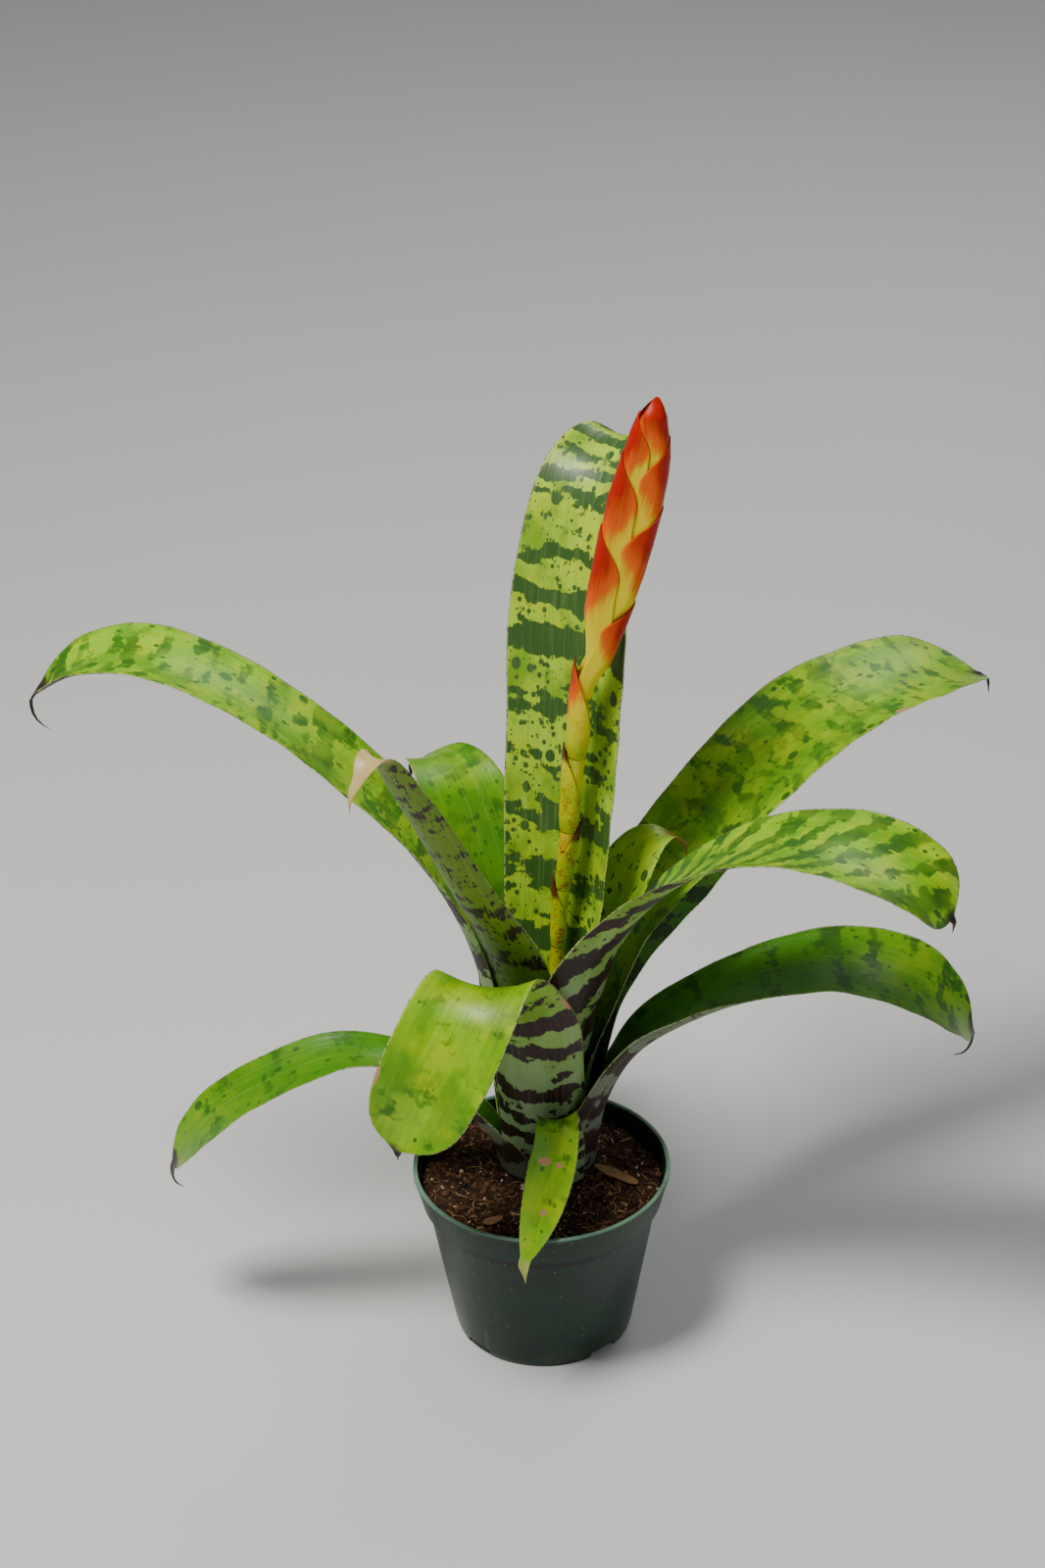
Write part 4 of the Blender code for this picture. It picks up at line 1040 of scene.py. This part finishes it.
def in_notch(angle):
    spacing = 360 / FOOT_NOTCHES
    turn = (np.degrees(angle) - FIRST_NOTCH_AZIMUTH + spacing / 2) % spacing - spacing / 2
    return abs(turn) < NOTCH_ANGLE / 2


def build_pot(settings):
    """The turned pot with its collar, foot notches and four drain holes."""
    def raise_notches(row, radius, height, angle):
        on_foot_ring = height < 1 and radius > CENTRE_PAD_RADIUS + 1
        raised = FOOT_HEIGHT - 0.3 - height
        return 0, 0, raised if on_foot_ring and in_notch(angle) else 0

    finish = pot_finish(settings)
    points, faces = turned_parts(pot_profile(settings), 216, adjust=raise_notches)
    pot = add_piece("nursery_pot", points, faces, [finish])
    cutters = []
    outline = ((0, -1), (DRAIN_HOLE_RADIUS, -1), (DRAIN_HOLE_RADIUS, 9), (0, 9))
    for index in range(FOOT_NOTCHES):
        angle = radians(FIRST_NOTCH_AZIMUTH + 360 / FOOT_NOTCHES * index)
        centre = (DRAIN_HOLE_REACH * cos(angle), DRAIN_HOLE_REACH * sin(angle))
        points, faces = turned_parts(outline, 36, centre)
        cutter = add_piece(f"drain_cutter_{index + 1}", points, faces, [finish])
        cut = pot.modifiers.new(f"drain_{index + 1}", "BOOLEAN")
        cut.operation, cut.solver, cut.object = "DIFFERENCE", "EXACT", cutter
        cutters.append(cutter)
    bake_modifiers(pot)
    for cutter in cutters:
        bpy.data.objects.remove(cutter, do_unlink=True)
    shade_by_angle(pot, 40)
    place(pot, "pot_plastic", "pot")


def bake_modifiers(obj):
    """Keeps what the modifiers make of the mesh and takes them away."""
    graph = bpy.context.evaluated_depsgraph_get()
    graph.update()
    mesh = bpy.data.meshes.new_from_object(obj.evaluated_get(graph))
    obj.modifiers.clear()
    obj.data = mesh


def shade_by_angle(obj, degrees):
    """Smooth faces with sharp edges wherever the surface turns by more than the angle."""
    mesh = obj.data
    mesh.polygons.foreach_set("use_smooth", [True] * len(mesh.polygons))
    mesh.set_sharp_from_angle(angle=radians(degrees))


# ---- potting mix -----------------------------------------------------------------------------
def mix_height(x, y):
    """The uneven top of the mix at a place, in millimetres."""
    bumps = (0.55 * np.sin(x / 4.1 + 1.3) * np.cos(y / 5.3) + 0.4 * np.sin((x + y) / 2.3)
             + 0.35 * np.cos((x - 1.7 * y) / 1.9 + 0.6))
    away = np.hypot(x - PLANT[0], y - PLANT[1])
    heap = 0.9 * np.exp(-((away - 17) / 7) ** 2)
    return MIX_LEVEL + 0.35 * bumps + heap - 0.9 * ramp(np.hypot(x, y), 47, 54)


def mix_finish(settings):
    f = Finish("peat_skin", roughness=0.95, Specular_IOR_Level=0.25)
    place_at = f.place()
    coarse = f.noise(place_at, 260.0, 5.0, 0.7)
    fine = f.noise(place_at, 1500.0, 4.0, 0.7)
    distance, cell = f.cells(place_at, 520.0)
    chance = f.split(cell)[0]
    tone = f.mix(f.step(coarse, 0.40, 0.70), settings.peat, settings.crumb)
    tone = f.mix(f.times(f.step(fine, 0.45, 0.75), 0.6), tone, (0.14, 0.06, 0.03))
    light = f.times(f.step(distance, 0.42, 0.28), f.step(chance, 0.90, 0.94))
    tone = f.mix(f.times(light, 0.7), tone, settings.tan)
    height = f.plus(f.times(coarse, 1.0), f.plus(f.times(fine, 0.5), f.times(distance, -0.6)))
    return f.finish(tone, None, f.bump(height, 0.0012, 0.9))


def grain_finish(name, settings, low, high, roughness=0.85):
    """Colour of loose bits: each bit takes its own shade between two colours."""
    f = Finish(name, roughness=roughness, Specular_IOR_Level=0.3)
    shade, other, _ = f.split(f.uv("bit"))
    place_at = f.place()
    fine = f.noise(place_at, 1300.0, 3.0, 0.7)
    tone = f.mix(f.math("POWER", shade, 1.8), low, high)
    tone = f.mix(f.times(f.step(fine, 0.4, 0.7), 0.45), tone, settings.peat)
    tone = f.mix(f.times(other, 0.35), tone, (0.20, 0.075, 0.03))
    return f.finish(tone, None, f.bump(fine, 0.0005, 0.7))


def ball(rings=5, around=8):
    """Points and faces of a small round lump with poles."""
    points = [(0, 0, 1)]
    for row in range(1, rings):
        polar = pi * row / rings
        for column in range(around):
            angle = tau * (column + 0.5 * (row % 2)) / around
            points.append((sin(polar) * cos(angle), sin(polar) * sin(angle), cos(polar)))
    points.append((0, 0, -1))
    faces = []
    for column in range(around):
        after = (column + 1) % around
        faces.append((0, 1 + column, 1 + after))
        for row in range(rings - 2):
            low = 1 + row * around
            faces.append((low + column, low + around + column, low + around + after, low + after))
        low = 1 + (rings - 2) * around
        faces.append((low + column, len(points) - 1, low + after))
    return np.array(points), faces


def scattered(draw, number, inner, outer):
    """Places on the mix between the crown and the wall."""
    places = []
    while len(places) < number:
        x, y = draw.uniform(-outer, outer, 2)
        if np.hypot(x, y) < outer and np.hypot(x - PLANT[0], y - PLANT[1]) > inner:
            places.append((x, y))
    return np.array(places)


def join_bits(name, bits, material, slot):
    """One object from many small closed bits, each with its own shade."""
    points, faces, pairs, start = [], [], [], 0
    for bit_points, bit_faces, shade in bits:
        points.append(bit_points)
        faces += [tuple(start + corner for corner in face) for face in bit_faces]
        pairs.append(np.tile(shade, (len(bit_points), 1)))
        start += len(bit_points)
    piece = add_piece(name, np.vstack(points), faces, [material], {"bit": np.vstack(pairs)})
    return place(piece, slot)


def lumps(draw, number, sizes, flatness, outer):
    form, faces = ball()
    found = []
    for x, y in scattered(draw, number, CROWN_CLEARANCE, outer):
        size = sizes[0] + (sizes[1] - sizes[0]) * draw.random() ** 2.5
        body = form * (1 + 0.45 * (draw.random(len(form))[:, None] - 0.5))
        body = body * size * np.array([1, draw.uniform(0.55, 1), draw.uniform(*flatness)])
        angle = draw.uniform(0, tau)
        turn = np.array([[cos(angle), -sin(angle), 0], [sin(angle), cos(angle), 0], [0, 0, 1]])
        body = body @ turn.T
        lift = mix_height(x, y) + body[:, 2].max() * draw.uniform(-0.3, 0.45)
        found.append((body + (x, y, lift), faces, draw.random(2)))
    return found


def fibres(draw, number, lengths, thick, outer, sides=5):
    found = []
    for x, y in scattered(draw, number, CROWN_CLEARANCE, outer):
        span, heading = draw.uniform(*lengths), draw.uniform(0, tau)
        bend = draw.uniform(-0.6, 0.6)
        steps = np.linspace(-0.5, 0.5, 8)
        angle = heading + bend * steps * 2
        path = np.stack([x + span * steps * np.cos(angle), y + span * steps * np.sin(angle)], -1)
        reach = np.hypot(path[:, 0], path[:, 1])
        if reach.max() > outer:
            path = path * (outer / reach.max())
        rise = mix_height(path[:, 0], path[:, 1]) + draw.uniform(0.1, 0.5)
        rise = rise + 0.5 * draw.random() * np.sin(pi * (steps + 0.5))
        radii = draw.uniform(*thick) * np.array([0.3, 0.9, 1, 1, 1, 0.9, 0.7, 0.3])
        points, faces = tube_parts(np.column_stack([path, rise]), radii, sides)
        found.append((points, faces, draw.random(2)))
    return found


def build_mix(settings, pot):
    wall, slope = pot.wall / MM, POT_SLOPE
    base = pot.base_radius / MM
    floor = FLOOR_TOP + 0.3
    collar = (pot.height - pot.collar_height) / MM
    rings = np.linspace(MIX_RADIUS, PIT_RADIUS + 0.6, 40)
    low = base - wall + slope * 5 - 0.5
    outline = [(0, floor), (low, floor), (low + slope * (collar - 8 - floor), collar - 4),
               (low + slope * (collar - 8 - floor) + 1.0, MIX_LEVEL - 1.5)]
    top = len(outline) - 1
    outline += [(radius, MIX_LEVEL) for radius in rings]
    outline += [(PIT_RADIUS, MIX_LEVEL - 1), (PIT_RADIUS, PIT_FLOOR), (0, PIT_FLOOR)]

    def shape(row, radius, height, angle):
        share_in = min(1, max(0, (row - top) / 34))
        x, y = share_in * PLANT[0], share_in * PLANT[1]
        if row < top or row >= top + len(rings):
            return (PLANT[0], PLANT[1], 0) if row >= top + len(rings) else (0, 0, 0)
        return x, y, mix_height(radius * cos(angle) + x, radius * sin(angle) + y) - height

    points, faces = turned_parts(outline, 180, adjust=shape)
    piece = add_piece("peat_filling", points, faces, [mix_finish(settings)])
    place(piece, "potting_mix", "potting_mix")
    draw = np.random.default_rng(7)
    tan, grit = settings.tan, settings.grit
    crumb = grain_finish("crumb_skin", settings, settings.peat, (0.15, 0.060, 0.024))
    join_bits("peat_crumbs", lumps(draw, settings.crumbs, (0.45, 2.0), (0.5, 0.9), 52.6), crumb,
              "potting_mix")
    pale = grain_finish("grain_skin", settings, tan, grit)
    join_bits("pale_grains", lumps(draw, settings.grains, (0.3, 1.3), (0.6, 0.9), 52.2), pale,
              "potting_mix")
    straw = grain_finish("fibre_skin", settings, (0.10, 0.045, 0.018), (0.70, 0.42, 0.15))
    join_bits("peat_fibres", fibres(draw, settings.fibres, (3, 10), (0.09, 0.26), 52.4), straw,
              "potting_mix")
    wood = grain_finish("sliver_skin", settings, (0.30, 0.16, 0.07), (0.60, 0.38, 0.18))
    join_bits("wood_slivers", fibres(draw, 26, (4, 9), (0.35, 0.6), 50.0, 4), wood, "potting_mix")


# ---- crown and bark --------------------------------------------------------------------------
def build_crown(leaves):
    """The short stem at the heart of the rosette, streaked green and maroon, brown at the soil."""
    f = Finish("crown_skin", roughness=0.55)
    place_at = f.place()
    z = f.split(place_at)[2]
    clouds = f.noise(place_at, 120.0, 4.0, 0.6)
    fine = f.noise(f.scaled(place_at, (900, 900, 90)), 1.0, 3.0)
    tone = f.mix(f.step(clouds, 0.38, 0.66), (0.23, 0.25, 0.03), leaves.maroon)
    soil = f.step(f.plus(z, f.times(clouds, 0.006)), 0.0855, 0.0815)
    tone = f.mix(soil, tone, (0.075, 0.036, 0.016))
    tone = f.mix(f.times(fine, 0.35), tone, (0.04, 0.02, 0.01))
    finish = f.finish(tone, None, f.bump(f.plus(fine, clouds), 0.0006, 0.7))
    foot = MIX_LEVEL + 1.1
    outline = [(0, 90.6), (11.0, 90.6), (11.6, 90.4), (13.6, 88.4), (15.2, 86.2), (16.3, 84),
               (17.2, 81.5), (17.8, 79), (17.9, foot), (14.0, foot - 0.2), (14.0, 58), (0, 58)]
    outline = outline[::-1]

    def lumps_of(row, radius, height, angle):
        swell = 0.12 * sin(7 * angle + height) if height > foot + 1 and radius < 17 else 0
        return swell * cos(angle), swell * sin(angle), 0

    points, faces = turned_parts(outline, 96, (PLANT[0], PLANT[1]), adjust=lumps_of)
    piece = add_piece("crown_stem", points, faces, [finish])
    shade_by_angle(piece, 50)
    place(piece, "crown", "crown")


def bark_finish(name, dark, light):
    f = Finish(name, roughness=0.85, Specular_IOR_Level=0.3)
    cm = f.uv("chip_cm")
    grain = f.noise(f.scaled(cm, (2.0, 26, 1)), 1.0, 3.0, 0.65)
    spots = f.noise(f.scaled(cm, (9, 9, 1)), 1.0, 3.0)
    tone = f.mix(f.step(grain, 0.32, 0.7), dark, light)
    tone = f.mix(f.times(f.step(spots, 0.55, 0.7), 0.5), tone, (0.05, 0.022, 0.01))
    return f.finish(tone, None, f.bump(f.plus(grain, f.times(spots, 0.4)), 0.0006, 0.8))


def build_chip(name, x, y, span, width, turn):
    """A thin curled splinter of bark, thicker at its middle, lying on the mix."""
    rows, columns = 40, 15
    along, across = np.linspace(-1, 1, rows), np.linspace(-1, 1, columns)
    half = width / 2 * (1 - np.abs(along) ** 3.2) ** 0.6 * (1 - 0.12 * np.sin(5 * along))
    half = np.maximum(half, 0.15)
    angle = radians(turn)
    forward = np.array([cos(angle), sin(angle), 0])
    side = np.array([-sin(angle), cos(angle), 0])
    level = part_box(name)[0].z / MM + 0.6
    middle = (np.array([x, y, 0]) + (span / 2 * along)[:, None, None] * forward
              + (half[:, None] * across)[..., None] * side)
    middle[..., 2] = (level + 0.5 * across ** 2 * (half / half.max())[:, None]
                      + 0.35 * (along ** 2)[:, None])
    normals = np.tile(np.array([0, 0, 1.0]), (rows, columns, 1))
    thickness = np.tile(0.35 + 0.75 * (1 - along ** 2)[:, None], (1, columns))
    cm = np.stack([np.tile((span / 20 * along)[:, None], columns),
                   half[:, None] * across / 10], -1)
    finish = bark_finish(name + "_skin", (0.16, 0.075, 0.03), (0.42, 0.24, 0.11))
    piece = closed_sheet(name + "_piece", middle, normals, thickness, [finish], {"chip_cm": cm})
    place(piece, "bark", name)


# ---- stage -----------------------------------------------------------------------------------
def area_light(name, place_at, target, size, watts, tint):
    light = bpy.data.lights.new(name, "AREA")
    light.shape, light.size, light.size_y = "RECTANGLE", size[0], size[1]
    light.energy, light.color = watts, tint
    obj = bpy.data.objects.new(name, light)
    aim = np.array(target) - np.array(place_at)
    obj.location = place_at
    obj.rotation_euler = Vector(aim.tolist()).to_track_quat("-Z", "Y").to_euler()
    bpy.context.scene.collection.objects.link(obj)
    return obj


def build_stage(settings):
    scene = bpy.context.scene
    world = bpy.data.worlds.new("studio_air")
    world.use_nodes = True
    air = world.node_tree.nodes["Background"]
    air.inputs[0].default_value = (0.90, 0.95, 1.0, 1)
    air.inputs[1].default_value = AIR_STRENGTH * settings.light
    scene.world = world

    f = Finish("floor_paper", roughness=0.75)
    place_at = f.place()
    soft = f.noise(place_at, 3.0, 3.0)
    grain = f.noise(place_at, 900.0, 2.0)
    tone = f.mix(f.times(f.step(soft, 0.3, 0.7), 0.25), settings.floor, (0.76, 0.75, 0.74))
    finish = f.finish(tone, None, f.bump(grain, 0.0002, 0.3))
    turns = [tau * k / FLOOR_SIDES for k in range(FLOOR_SIDES)]
    ring = [(FLOOR_RADIUS * cos(turn), FLOOR_RADIUS * sin(turn), 0) for turn in turns]
    faces = [(0, 1 + k, 1 + (k + 1) % FLOOR_SIDES) for k in range(FLOOR_SIDES)]
    floor = add_piece("studio_floor", [(0, 0, 0)] + ring, faces, [finish])

    for name, (place_at, target, size, watts, tint) in LIGHTS.items():
        area_light(name, place_at, target, size, watts * settings.light, tint)

    camera = bpy.data.cameras.new("studio_camera")
    camera.lens, camera.sensor_width, camera.sensor_fit = CAMERA_LENS, 36.0, "AUTO"
    camera.clip_start, camera.clip_end = 0.05, 50.0
    view = bpy.data.objects.new("studio_camera", camera)
    tilt = Matrix.Rotation(radians(90 - CAMERA_TILT), 4, "X")
    roll = Matrix.Rotation(radians(CAMERA_ROLL), 4, "Z")
    view.matrix_world = Matrix.Translation(CAMERA_PLACE) @ tilt @ roll
    scene.collection.objects.link(view)
    scene.camera = view


# ---- operators -------------------------------------------------------------------------------
class BROMELIAD_OT_pot(bpy.types.Operator):
    """Build the nursery pot"""

    bl_idname = "bromeliad.pot"
    bl_label = "Build Pot"

    def execute(self, context):
        build_pot(context.scene.bromeliad_pot)
        return {"FINISHED"}


class BROMELIAD_OT_mix(bpy.types.Operator):
    """Fill the pot with potting mix, crumbs, grains and fibres"""

    bl_idname = "bromeliad.mix"
    bl_label = "Build Potting Mix"

    def execute(self, context):
        build_mix(context.scene.bromeliad_mix, context.scene.bromeliad_pot)
        return {"FINISHED"}


class BROMELIAD_OT_bark(bpy.types.Operator):
    """Lay the bark splinters on the mix"""

    bl_idname = "bromeliad.bark"
    bl_label = "Build Bark"

    def execute(self, context):
        for name, values in BARK_CHIPS.items():
            build_chip(name, *values)
        return {"FINISHED"}


class BROMELIAD_OT_crown(bpy.types.Operator):
    """Build the short stem that the leaves grow from"""

    bl_idname = "bromeliad.crown"
    bl_label = "Build Crown"

    def execute(self, context):
        build_crown(context.scene.bromeliad_leaves)
        return {"FINISHED"}


class BROMELIAD_OT_leaves(bpy.types.Operator):
    """Build all the leaves of the rosette"""

    bl_idname = "bromeliad.leaves"
    bl_label = "Build Leaves"

    def execute(self, context):
        for seed, (name, leaf) in enumerate(LEAVES.items(), 1):
            build_leaf(name, leaf, context.scene.bromeliad_leaves, seed)
        return {"FINISHED"}


class BROMELIAD_OT_stalk(bpy.types.Operator):
    """Build the flower stalk and its clasping bracts"""

    bl_idname = "bromeliad.stalk"
    bl_label = "Build Stalk"

    def execute(self, context):
        settings = context.scene.bromeliad_spike
        build_stalk(settings)
        for seed, (name, values) in enumerate(STALK_BRACTS.items()):
            build_stalk_bract(name, *values, settings, seed)
        return {"FINISHED"}


class BROMELIAD_OT_spike(bpy.types.Operator):
    """Build the boat-shaped bracts of the flower spike"""

    bl_idname = "bromeliad.spike"
    bl_label = "Build Spike"

    def execute(self, context):
        for seed, (name, values) in enumerate(SPIKE_BRACTS.items()):
            build_spike_bract(name, *values, context.scene.bromeliad_spike, seed)
        return {"FINISHED"}


class BROMELIAD_OT_stage(bpy.types.Operator):
    """Set up the floor, the lights and the camera"""

    bl_idname = "bromeliad.stage"
    bl_label = "Build Stage"

    def execute(self, context):
        build_stage(context.scene.bromeliad_stage)
        return {"FINISHED"}


class BROMELIAD_PT_panel(bpy.types.Panel):
    """Lists the settings and the building steps"""

    bl_label = "Bromeliad"
    bl_idname = "BROMELIAD_PT_panel"
    bl_space_type = "VIEW_3D"
    bl_region_type = "UI"
    bl_category = "Bromeliad"

    def draw(self, context):
        for group, operators in PANEL_ROWS:
            box = self.layout.box()
            settings = getattr(context.scene, group)
            for name in settings.bl_rna.properties.keys():
                if name not in ("rna_type", "name"):
                    box.prop(settings, name)
            for operator in operators:
                box.operator(operator)


PANEL_ROWS = (
    ("bromeliad_pot", ("bromeliad.pot",)),
    ("bromeliad_mix", ("bromeliad.mix", "bromeliad.bark")),
    ("bromeliad_leaves", ("bromeliad.crown", "bromeliad.leaves")),
    ("bromeliad_spike", ("bromeliad.stalk", "bromeliad.spike")),
    ("bromeliad_stage", ("bromeliad.stage",)),
)
SETTINGS = {
    "bromeliad_pot": PotSettings, "bromeliad_mix": MixSettings, "bromeliad_leaves": LeafSettings,
    "bromeliad_spike": SpikeSettings, "bromeliad_stage": StageSettings,
}
CLASSES = (
    *SETTINGS.values(), BROMELIAD_OT_pot, BROMELIAD_OT_mix, BROMELIAD_OT_bark,
    BROMELIAD_OT_crown, BROMELIAD_OT_leaves, BROMELIAD_OT_stalk, BROMELIAD_OT_spike,
    BROMELIAD_OT_stage, BROMELIAD_PT_panel,
)


def register():
    for entry in CLASSES:
        bpy.utils.register_class(entry)
    for name, group in SETTINGS.items():
        setattr(bpy.types.Scene, name, bpy.props.PointerProperty(type=group))


def unregister():
    for name in SETTINGS:
        delattr(bpy.types.Scene, name)
    for entry in reversed(CLASSES):
        bpy.utils.unregister_class(entry)


def main():
    register()
    bpy.ops.bromeliad.stage()
    bpy.ops.bromeliad.pot()
    bpy.ops.bromeliad.mix()
    bpy.ops.bromeliad.bark()
    bpy.ops.bromeliad.crown()
    bpy.ops.bromeliad.leaves()
    bpy.ops.bromeliad.stalk()
    bpy.ops.bromeliad.spike()


if __name__ == "__main__":
    main()
